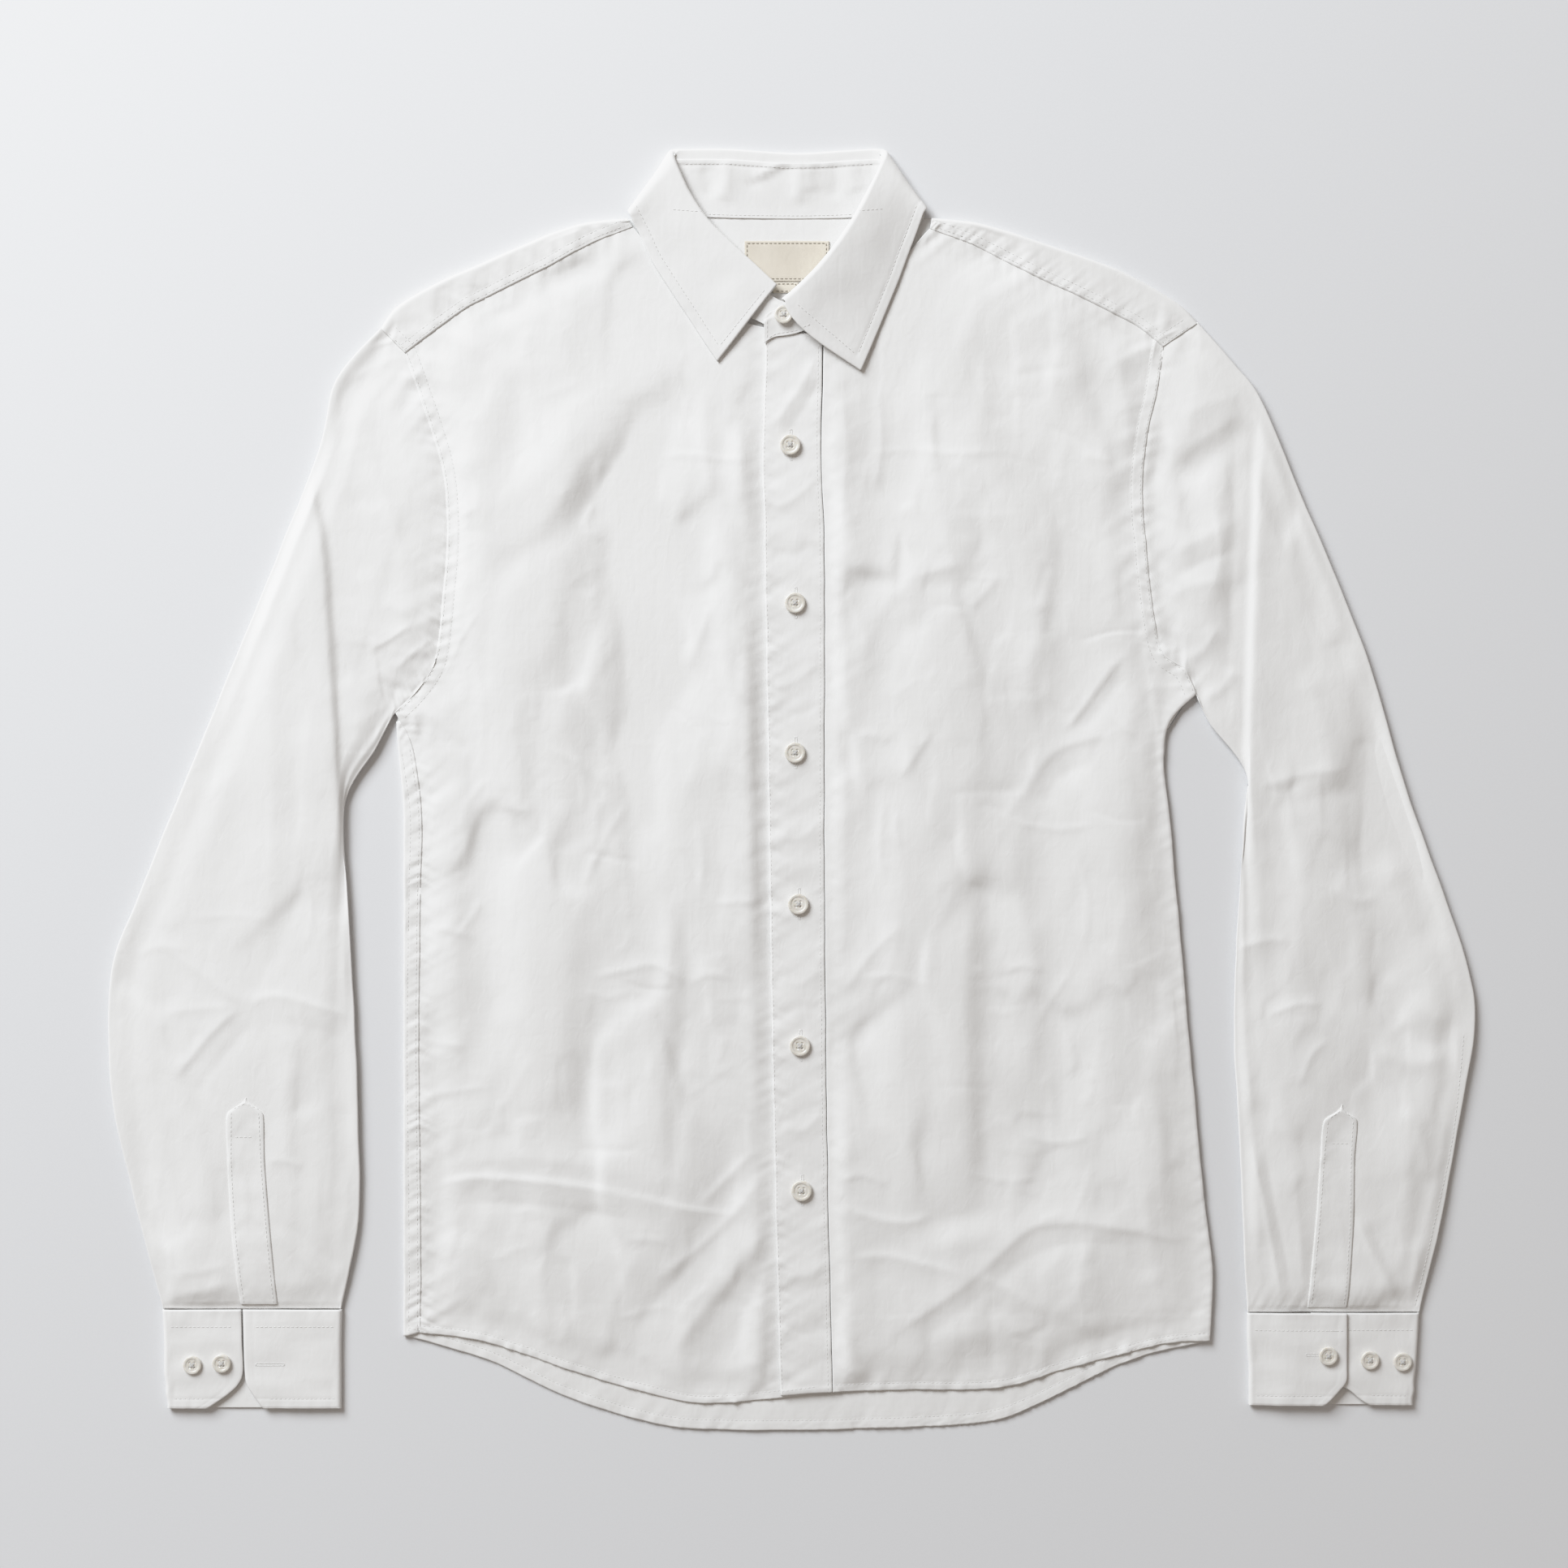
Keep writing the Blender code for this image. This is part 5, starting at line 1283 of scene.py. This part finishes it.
def add_sleeve(side, material):
    """A flattened sleeve: rings round the tube from armhole to cuff, its folded edges off the floor."""
    full = shifted(armhole_line(side), side.inward * TUCK)
    corner = np.hypot(*(full - np.array(side.armhole[-3], float)).T).argmin()
    inner_line = joined(full[corner:], curve(side.inner)[1:])
    outer_line = np.concatenate([full[:1], curve(side.outer)[2:]])
    cuff = np.array([side.outer[-1], side.inner[-1]], float) - [0, CUFF_TUCK]
    u, v = graded(140, 1.9), graded(runs(outer_line)[-1], STEP, 0.9, 8)
    xy = patch(outer_line, inner_line, full[:corner + 1], cuff, u, v)
    radius = SLEEVE_EDGE / 2
    shares = graded(150, 1.45, 0.9, 8)
    lines, insets = [], []
    for line in xy:
        run = runs(line)
        want = radius + shares * (run[-1] - 2 * radius)
        lines.append(np.stack([np.interp(want, run, line[:, k]) for k in (0, 1)], axis=1))
        insets.append(np.minimum(want, run[-1] - want) - radius)
    flat, inset = np.stack(lines), np.stack(insets)
    down, up = near(flat, full[::3], 60)[0], flat[..., 1] - cuff[:, 1].mean()
    lift = sleeve_lift(flat, down, up)
    top = sleeve_top(side, flat, inset, down, up, cuff, lift)
    near_bend, far_bend = sleeve_bends(flat, lift)
    columns = near_bend + [np.column_stack([flat[:, k], top[:, k]]) for k in range(flat.shape[1])] + far_bend
    grid = np.stack(columns + sleeve_underside(side, flat, up, lift), axis=1)
    grid[..., :2] = drift(grid[..., :2])
    node = "sleeve_" + side.name
    return place(add_tube(node + "_cloth", grid, SHELL_WALL, material, side is LEFT), "cotton", node)


def sleeve_lift(flat, down, up):
    """How high the middle of a sleeve's folded edges stands off the floor."""
    wave = 0.7 * noise(flat[..., 0], flat[..., 1], 70, 401)
    lift = SLEEVE_LIFT + wave * ease(down / 40) * ease(up / 40) - 0.7 * falling(down / 25)
    return lift - (SLEEVE_LIFT - CUFF_MIDDLE) * falling(up / 40)


def sleeve_top(side, flat, inset, down, up, cuff, lift):
    """Upper face of a sleeve, between its two bends."""
    radius = SLEEVE_EDGE / 2
    cuff_seam = Seam(at(cuff, np.linspace(0, 1, 30)), 0.2, 0.1, 0.5, 13, side.sleeve_seed + 3, 6.5)
    seams = [armhole_seam(side, 0.2, 0.0), cuff_seam]
    loose = ease(inset / 9) * ease(down / 10) * ease(up / 14)
    top = lift + radius + (SLEEVE_TOP - lift - radius) * ease(inset / 16)
    top += SLEEVE_RISE * ease(inset / 28) * ease(down / 26) * ease(up / 20)
    relief = crease_height(flat, side.creases) + undulation(flat, side.sleeve_seed)
    relief = side.sleeve_calm * (relief + crumple(flat, side.sleeve_seed + 11))
    top += (relief + fold_height(flat, side.folds)) * loose
    top += seam_height(flat, seams) * ease(inset / 3) * calm_at(flat, side.armhole[0])
    top = kept(top, SLEEVE_LOW, SLEEVE_HIGH) - SEAM_STEP * falling(down / 3.5)
    return top + (CUFF_MIDDLE + 0.45 - top) * falling((up - 1.2) / 6)


def sleeve_bends(flat, lift):
    """The columns of points round each folded edge of a sleeve."""
    radius = SLEEVE_EDGE / 2
    bends = np.linspace(-math.pi / 2, math.pi / 2, 9)[1:-1]
    columns = []
    for edge, inside, angles in ((0, 1, bends), (-1, -2, bends[::-1])):
        out = flat[:, edge] - flat[:, inside]
        out = out / np.hypot(*out.T)[:, None]
        columns.append([])
        for a in angles:
            height = lift[:, edge] + radius * math.sin(a)
            columns[-1].append(np.column_stack([flat[:, edge] + out * radius * math.cos(a), height]))
    return columns


def sleeve_underside(side, flat, up, lift):
    """The columns of points of a sleeve's lower half, from its far edge back to its near one."""
    radius = SLEEVE_EDGE / 2
    width = np.hypot(*(flat[:, -1] - flat[:, 0]).T)
    columns = []
    for share in np.linspace(0, 1, 25):
        line = flat[:, -1] * (1 - share) + flat[:, 0] * share
        from_far, from_near = ease(share * width / 22), ease((1 - share) * width / 22)
        floor = 0.15 + 0.15 * noise(line[:, 0], line[:, 1] * 0.5, 30, side.sleeve_seed + 5)
        lower = floor + (lift[:, -1] - radius - floor) * (1 - from_far)
        lower += (lift[:, 0] - radius - floor) * (1 - from_near)
        lower += (CUFF_MIDDLE - 0.45 - lower) * falling((up.mean(axis=1) - 1.2) / 12)
        columns.append(np.column_stack([line, lower]))
    return columns


def add_cuff(node, table, lap_rise, seed, material):
    """A cuff: one stiff strip bent flat round the wrist, with rounded front corners."""
    rows = through(table, np.linspace(0, 1, 61))
    radius = CUFF_TOP / 2
    y, fold_left, fold_right, end_left, end_right = rows.T
    near_fold, far_fold = fold_left + radius, fold_right - radius
    shares = graded(60, 2.0, 0.8, 7)
    columns = []

    def face(x, z):
        columns.append(np.column_stack([x, y, np.broadcast_to(z, x.shape)]))

    for share in shares:
        face(end_left * (1 - share) + near_fold * share, CUFF_TOP + lap_rise * float(ease(2 * (1 - share))))
    bends = np.linspace(math.pi / 2, -math.pi / 2, 9)[1:-1]
    for a in bends:
        face(near_fold - radius * math.cos(a), radius * (1 + math.sin(a)))
    for share in np.linspace(0, 1, 22):
        face(near_fold * (1 - share) + far_fold * share, FLOOR_GAP)
    for a in bends[::-1]:
        face(far_fold + radius * math.cos(a), radius * (1 + math.sin(a)))
    for share in shares:
        face(far_fold * (1 - share) + end_right * share, CUFF_TOP)
    grid = np.stack(columns, axis=1)
    for part, end in ((slice(0, len(shares)), end_left), (slice(-len(shares), None), end_right)):
        x, level = grid[:, part, 0], grid[:, part, 1]
        down, up, front = y[0] - level, level - y[-1], np.abs(x - end[:, None])
        grooves = groove(down, CUFF_TOP_STITCH) + groove(up, CUFF_EDGE_STITCH)
        grooves = grooves + 0.7 * groove(front, CUFF_EDGE_STITCH)
        waves = ripple(x + 0.3 * down, 8, seed) * (np.exp(-down / 9) + np.exp(-up / 6))
        waves = waves + 1.5 * noise(x * 0.45, level, 14, seed + 3) + 0.9 * noise(x, level, 26, seed + 5)
        rim = 0.35 * falling(up / 1.4) + 0.3 * falling(front / 1.4)
        fold = ease(np.abs(x - near_fold[:, None]) / 4) * ease(np.abs(x - far_fold[:, None]) / 4)
        grid[:, part, 2] += (0.3 * waves - 0.12 * grooves) * fold - rim
    return place(add_wall(node + "_cloth", grid, CUFF_WALL, material), "cotton", node)


def add_sleeve_placket(node, table, sleeve, seed, material):
    """The pointed strip that binds the sleeve's slit, lying on the sleeve."""
    rows = through(table, graded(130, 1.7, 0.8, 9))
    narrow = np.minimum(1, 0.06 + ease((rows[0, 0] - rows[:, 0]) / 11))
    y, left, right = rows.T
    middle = (left + right) / 2
    left, right = middle - (middle - left) * narrow, middle + (right - middle) * narrow
    u = graded(22, 1.6, 0.7, 5)[None, :]
    x = left[:, None] * (1 - u) + right[:, None] * u
    xy = np.dstack([x, np.broadcast_to(y[:, None], x.shape)])
    below = drop(tree_of(sleeve), xy.reshape(-1, 2), 0.0)
    level = np.array([p[2] if p is not None else SLEEVE_TOP for p in below]).reshape(x.shape)
    edge = np.minimum(x - left[:, None], right[:, None] - x)
    along = rows[0, 0] - xy[..., 1]
    waves = 0.3 * ripple(along + edge, 5, seed) * np.exp(-edge / 8)
    waves = waves + 0.35 * noise(x * 0.4, y[:, None] + 0 * x, 15, seed + 3)
    z = level + STRIP_RISE + waves * ease(edge / 2 + 0.3) - 0.3 * falling(edge / 1.8)
    z -= 0.12 * groove(along, STRIP_BAR)
    return lay(node, xy, z, STRIP_WALL, material)


# Collar


def collar_frames(stations):
    """Roll centres, fall directions, outward directions and rows of sizes along part of the collar."""
    shares = np.linspace(0, 1, (len(stations) - 1) * COLLAR_FRAMES + 1)
    rows = through(stations, shares)
    fall = np.column_stack([rows[:, 3:5], np.zeros(len(rows))])
    fall /= np.linalg.norm(fall, axis=1)[:, None]
    side = np.column_stack([fall[:, 1], -fall[:, 0], np.zeros(len(rows))])
    side *= np.where(shares < 0.5, 1, -1)[:, None]
    turn = np.radians(np.clip(rows[:, 5], 0, 180))[:, None]
    outward = UP * np.cos(turn) + side * np.sin(turn)
    return rows[:, :3], fall, outward, rows


def add_collar_leaf(material):
    """The collar leaf: sewn to the band, rolled over and fallen, stitched round its edge."""
    centre, fall, outward, rows = collar_frames(LEAF)
    roll, reach, droop = rows[:, 6, None], rows[:, 7, None], rows[:, 8, None]
    columns = [centre + fall * s - outward * roll for s in np.linspace(COLLAR_LIP, 0, 5)]
    for angle in np.linspace(0, math.pi, 13)[1:-1]:
        columns.append(centre - fall * roll * math.sin(angle) - outward * roll * math.cos(angle))
    edge_line = centre + fall * reach
    along = runs(edge_line)
    from_end = np.minimum(along, along[-1] - along)[:, None]
    front = falling((along[-1] - along) / 26)[:, None]
    across = np.column_stack([fall[:, 1], -fall[:, 0], 0 * along])
    for share in graded(50, 1.6, 0.7, 8):
        down = droop * (0.5 * float(ease(share)) + 0.5 * share)
        edge = np.minimum(reach * (1 - share), from_end)
        relief = -0.2 * groove(edge, COLLAR_MARGIN, 1.0) - 0.25 * falling(edge / 1.0)
        waves = 0.2 * ripple(along[:, None] + 0.4 * edge, 5, 91) * np.exp(-(edge / COLLAR_MARGIN) ** 2)
        soft = 0.45 * noise(along[:, None], reach * share, 26, 93) * float(ease(share * 3))
        lift = roll + (relief + waves + soft) * float(ease(share * 5))
        point = centre + fall * reach * share + outward * lift
        bow = FRONT_BOW * front * math.sin(math.pi * share ** 0.6)
        columns.append(point + across * bow - UP * down)
    grid = np.stack(columns, axis=1)
    grid[..., 2] = np.maximum(grid[..., 2], FLOOR_GAP)
    piece = add_wall("collar_leaf_cloth", grid, COLLAR_WALL, material, flip=True)
    return place(piece, "cotton", "collar_leaf")


def add_collar_band(material):
    """The collar band, from just over the leaf's sewn edge down to the neck seam."""
    centre, fall, outward, rows = collar_frames(COLLAR)
    roll, band, sink = rows[:, 6, None], rows[:, 9, None], rows[:, 10, None]
    along = runs(centre)[:, None]
    columns = []
    for share in graded(34, 1.5, 0.6, 6):
        reach = (COLLAR_LIP - BAND_LAP) * (1 - share) + band * share
        over = 0.3 * falling((reach - COLLAR_LIP) / 2.5)
        puckers = 0.5 * ripple(along, 4, 95) * math.exp(-5 * share) * float(ease(share * 9))
        puckers = puckers + 0.2 * ripple(along, 6, 97) * math.exp(-9 * (1 - share))
        stitched = 0.12 * groove(reach - COLLAR_LIP, BAND_STITCH, 0.8)
        deep = roll + sink * float(ease(share)) + over + puckers - stitched
        columns.append(centre + fall * reach - outward * deep)
    grid = np.stack(columns, axis=1)
    creased = grid[..., 1] > BAND_CREASES_FROM
    grid[..., 2] += BAND_RELIEF * crease_height(grid[..., :2], CREASES_BAND) * creased
    return place(add_wall("collar_band_cloth", grid, COLLAR_WALL, material), "cotton", "collar_band")


# Buttons and labels


def add_button(spot, material, thread):
    """A four-hole button with a raised rim, and the thread that crosses its holes."""
    radius, dish = spot.width / 2, BUTTON_THICK - BUTTON_DISH
    holes = [(x * HOLE_OFFSET, y * HOLE_OFFSET) for x in (-1, 1) for y in (-1, 1)]
    profile = [(r, dish) for r in np.arange(0.25, radius - BUTTON_RIM, 0.24)]
    for r in np.linspace(radius - BUTTON_RIM, radius - 0.15, 12):
        share = (r - radius + BUTTON_RIM) / (BUTTON_RIM - 0.15)
        raised = BUTTON_DISH * float(ease(share * 2.2))
        profile.append((r, dish + raised - 0.3 * max(0.0, share - 0.7) ** 2 * 9))
    profile += [(radius, BUTTON_THICK - 0.75), (radius, 0.9), (radius - 0.35, 0.3), (radius - 1.0, 0.0)]
    profile.append((0.25, 0.0))
    turns = np.linspace(0, math.tau, 57)[:-1]
    points = np.array([[(r * math.cos(a), r * math.sin(a), z) for a in turns] for r, z in profile])
    upper = points[..., 2] > 0.95
    for x, y in holes:
        away = np.hypot(points[..., 0] - x, points[..., 1] - y)
        points[..., 2] -= np.where(upper, HOLE_DEPTH * falling((away - HOLE_RADIUS) / 0.4), 0)
    count = len(turns)
    flat = points.reshape(-1, 3)
    faces = grid_faces(len(profile), count, closed=True)[:, ::-1].tolist()
    last = (len(profile) - 1) * count
    faces += [[k, (k + 1) % count, len(flat)] for k in range(count)]
    faces += [[last + (k + 1) % count, last + k, len(flat) + 1] for k in range(count)]
    flat = np.concatenate([flat, [[0, 0, dish], [0, 0, 0]]]) + [spot.x, spot.y, spot.base]
    place(add_mesh(spot.node + "_turned", flat, faces, material), "button", spot.node)
    points, faces = beads(crossing_threads(holes, dish), BUTTON_THREAD_RADIUS)
    points = np.array(points) + [spot.x, spot.y, spot.base]
    place(add_mesh(spot.node + "_thread", points, faces, thread), "button")


def crossing_threads(holes, dish):
    """Ends of the short straight parts of six threads that cross between a button's holes."""
    ends = []
    for (x0, y0), (x1, y1) in ((holes[0], holes[3]), (holes[1], holes[2])):
        for shift in (-0.22, 0.0, 0.22):
            offset = np.array([shift * (y0 - y1), shift * (x1 - x0), 0]) / (2 * HOLE_OFFSET)
            path = []
            for s in np.linspace(0, 1, 8):
                z = dish - BUTTON_DISH + 0.85 * math.sin(math.pi * s) ** 0.6
                path.append(np.array([x0 + (x1 - x0) * s, y0 + (y1 - y0) * s, z]) + offset)
            ends += zip(path, path[1:])
    return ends


def add_label(spot, seed, material):
    """A bare woven label with folded edges, lying on the yoke's inside."""
    width, height = spot.right - spot.left, spot.high - spot.low
    u, v = graded(width, 1.4, 0.6, 2.4), graded(height, 1.4, 0.6, 2.4)
    x = spot.left + width * u[None, :] + 0 * v[:, None]
    y = spot.low + height * v[:, None] + 0 * u[None, :]
    edge = np.minimum(np.minimum(x - spot.left, spot.right - x), np.minimum(y - spot.low, spot.high - y))
    z = LABEL_TOP + 0.25 * noise(x, y, 21, seed) - 0.22 * falling(edge / 0.9)
    z -= 0.12 * groove(edge, 1.6, 0.5)
    xy = np.dstack([x, y]) + 0.2 * np.dstack([noise(x, y, 12, seed + 1), noise(x, y, 12, seed + 2)])
    piece = add_shell(spot.node + "_weave", np.dstack([xy, z]), LABEL_WALL, material)
    return place(piece, "label", spot.node)


# Sewing rows


def add_body_sewing(tree, thread):
    """The rows of stitches on the fronts, yoke, side strip, hems and placket."""
    rows = []
    for side in SIDES:
        rows += [shifted(armhole_line(side)[4:], side.inward * inset) for inset in (EDGE_STITCH, FELL_WIDTH)]
    for side in SIDES:
        rows += [shifted(curve(side.yoke_seam), side.inward * inset) for inset in (EDGE_STITCH, YOKE_STITCH)]
    for points, inset in (
        (FRONT_HEM_LEFT, FRONT_HEM), (FRONT_HEM_RIGHT, FRONT_HEM), (BACK_HEM, BACK_HEM_WIDTH),
        (PLACKET_EDGE_LEFT[:-1], -1.2), (PLACKET_EDGE_RIGHT[:-1], 2.5),
        (SIDE_LEFT[:-1], 1.2), (SIDE_LEFT[:-1], SIDE_STRIP),
    ):
        rows.append(shifted(curve(points), inset))
    add_stitches("body_stitches", tree, [drift(row) for row in rows], thread, lift=0.0)


def add_sleeve_sewing(tree, thread):
    """The rows of stitches on the sleeves, their plackets and the cuffs."""
    rows = [curve(SLEEVE_TUCK)]
    for strip in (SLEEVE_PLACKET_LEFT, SLEEVE_PLACKET_RIGHT):
        tip, shoulder = strip[0], strip[1]
        point, bar = ((tip.left + tip.right) / 2, tip.y - 3), tip.y - STRIP_BAR
        rows.append(curve([(row.left + STRIP_STITCH, row.y) for row in strip[1:]]))
        rows.append(curve([(row.right - STRIP_STITCH, row.y) for row in strip[1:]]))
        rows.append([(shoulder.left + STRIP_STITCH, shoulder.y), point])
        rows.append([point, (shoulder.right - STRIP_STITCH, shoulder.y)])
        rows.append([(shoulder.left + 3, bar), (shoulder.right - 4, bar)])
    for table in (CUFF_LEFT, CUFF_RIGHT):
        for level in (table[0].y - CUFF_TOP_STITCH, table[-1].y + CUFF_EDGE_STITCH):
            row = min(table, key=lambda r: abs(r.y - level))
            rows.append([(row.fold_left + 3, level), (row.end_left - 6, level)])
            rows.append([(row.end_right + 6, level), (row.fold_right - 3, level)])
    add_stitches("sleeve_stitches", tree, [np.array(row, float) for row in rows], thread)


def collar_rows():
    """Stitch rows inside the collar leaf's edge and front ends and along the band, as flat lines."""
    centre, fall, _, rows = collar_frames(LEAF)
    reach = rows[:, 7, None]
    # The leaf's long edge, from each front end up to the neck's side
    edge = centre + fall * (reach - COLLAR_MARGIN)
    lines = [edge[3:78], edge[-78:-5]]
    # The leaf's two front ends
    for k in (3, -6):
        lines.append(centre[k] + fall[k] * np.linspace(5, float(reach[k, 0]) - COLLAR_MARGIN, 40)[:, None])
    centre, fall, _, rows = collar_frames(BAND_TAB)
    hem = centre + fall * (rows[:, 9, None] - BAND_STITCH)
    side = hem[-1] + [2, 0, 0] - fall[-1] * np.linspace(0, 14, 20)[:, None]
    lines += [hem[:-1] + [1.5, 0, 0], side]
    centre, fall, _, rows = collar_frames(NAPE)
    lines += [centre + fall * (COLLAR_LIP + 1.2), centre + fall * (rows[:, 9, None] - BAND_STITCH)]
    return [line[:, :2] for line in lines]


def border(spot, inset):
    """A rectangle inside a label's edges."""
    left, right, low, high = spot.left + inset, spot.right - inset, spot.low + inset, spot.high - inset
    return np.array([(left, low), (right, low), (right, high), (left, high), (left, low)], float)


def add_sewing(parts, collar, thread, hole_thread, label_thread):
    """Every row of stitches and every buttonhole, set down on the finished pieces."""
    tree = tree_of(*parts)
    add_body_sewing(tree, thread)
    add_sleeve_sewing(tree, thread)
    add_stitches("collar_stitches", tree_of(*collar), collar_rows(), thread)
    borders = [border(LABEL_MAIN, 1.6), border(LABEL_SMALL, 1.0)]
    add_stitches("label_stitches", tree, borders, label_thread, LABEL_THREAD_RADIUS)
    add_buttonholes("buttonholes", tree, BUTTONHOLES, hole_thread)


# Camera, light and floor


def add_camera():
    """Straight above, level with the photo's frame."""
    camera = bpy.data.cameras.new("camera_above")
    camera.sensor_width = SENSOR
    camera.lens = SENSOR * CAMERA_HEIGHT / FRAME_WIDTH
    holder = bpy.data.objects.new("camera_above", camera)
    holder.location = (FRAME_MIDDLE[0] * MM, FRAME_MIDDLE[1] * MM, CAMERA_HEIGHT)
    bpy.context.scene.collection.objects.link(holder)
    bpy.context.scene.camera = holder


def add_key(place, width, power, color):
    """A soft square light aimed at the middle of the shirt."""
    light = bpy.data.lights.new("window_light", "AREA")
    light.shape, light.size = "SQUARE", width
    light.energy, light.color = power, color
    holder = bpy.data.objects.new("window_light", light)
    holder.location = place
    holder.rotation_euler = (-Vector(place)).to_track_quat("-Z", "Y").to_euler()
    bpy.context.scene.collection.objects.link(holder)


def soften_highlights(view):
    """Brings the brightest tones down gently, as a camera does."""
    view.use_curve_mapping = True
    mapping = view.curve_mapping
    mapping.use_clip = True
    mapping.clip_max_x = 2.0
    line = mapping.curves[3]
    for place, point in zip(TONES, line.points):
        point.location = place
    for place in TONES[2:]:
        line.points.new(*place)
    mapping.update()


def add_surroundings():
    """Floor, window light and the room's faint warm light."""
    low, high = -FLOOR_REACH, FLOOR_REACH
    corners = [(x, y, FLOOR_TOP) for x, y in ((low, low), (high, low), (high, high), (low, high))]
    floor = add_mesh("floor_sheet", corners, [(0, 1, 2, 3)], floor_material())
    add_key(KEY_PLACE, KEY_WIDTH, KEY_POWER, KEY_COLOR)
    world = bpy.data.worlds.new("room")
    world.use_nodes = True
    room = world.node_tree.nodes["Background"]
    set_inputs(room, Color=(*ROOM_COLOR, 1.0), Strength=ROOM_STRENGTH)
    scene = bpy.context.scene
    scene.world = world
    scene.view_settings.view_transform = "Standard"
    soften_highlights(scene.view_settings)


# The whole shirt


def build():
    """Every piece of the shirt and its sewing."""
    cotton = cloth_material("cotton_white", COTTON)
    slanted = cloth_material("cotton_white_slanted", COTTON, turn=14)
    slanted_back = cloth_material("cotton_white_slanted_back", COTTON, turn=-14)
    crisp = cloth_material("cotton_white_crisp", COTTON, turn=90)
    woven = cloth_material("label_weave", LABEL, sheen=0.4)
    thread, pearl = thread_material("sewing_thread", THREAD_COLOR), button_material()
    pale_thread = thread_material("hole_thread", COTTON[1])
    tan_thread = thread_material("label_thread", LABEL_THREAD_COLOR)
    parts = [add_back(cotton), add_side_roll(cotton), add_yoke_inside(cotton)]
    parts += [add_yoke_fold(side, cotton) for side in SIDES]
    parts += [add_front_left(cotton), add_front_right(cotton), add_placket(crisp)]
    sleeve_left, sleeve_right = add_sleeve(LEFT, slanted), add_sleeve(RIGHT, slanted_back)
    parts += [
        sleeve_left, sleeve_right,
        add_cuff("cuff_left", CUFF_LEFT, 0.0, 141, crisp),
        add_cuff("cuff_right", CUFF_RIGHT, CUFF_LAP_RISE, 145, crisp),
        add_sleeve_placket("sleeve_placket_left", SLEEVE_PLACKET_LEFT, sleeve_left, 151, crisp),
        add_sleeve_placket("sleeve_placket_right", SLEEVE_PLACKET_RIGHT, sleeve_right, 155, crisp),
    ]
    collar = [add_collar_leaf(crisp), add_collar_band(crisp)]
    parts += [add_label(LABEL_MAIN, 161, woven), add_label(LABEL_SMALL, 165, woven)]
    for spot in BUTTONS:
        add_button(spot, pearl, thread)
    add_sewing(parts, collar, thread, pale_thread, tan_thread)


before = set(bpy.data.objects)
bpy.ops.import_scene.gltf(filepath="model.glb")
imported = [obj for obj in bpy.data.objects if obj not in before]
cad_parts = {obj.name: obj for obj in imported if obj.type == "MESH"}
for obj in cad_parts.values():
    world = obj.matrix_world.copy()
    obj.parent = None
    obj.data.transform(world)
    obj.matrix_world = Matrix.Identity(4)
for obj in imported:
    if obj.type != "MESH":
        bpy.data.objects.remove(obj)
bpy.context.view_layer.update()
build()
add_surroundings()
add_camera()
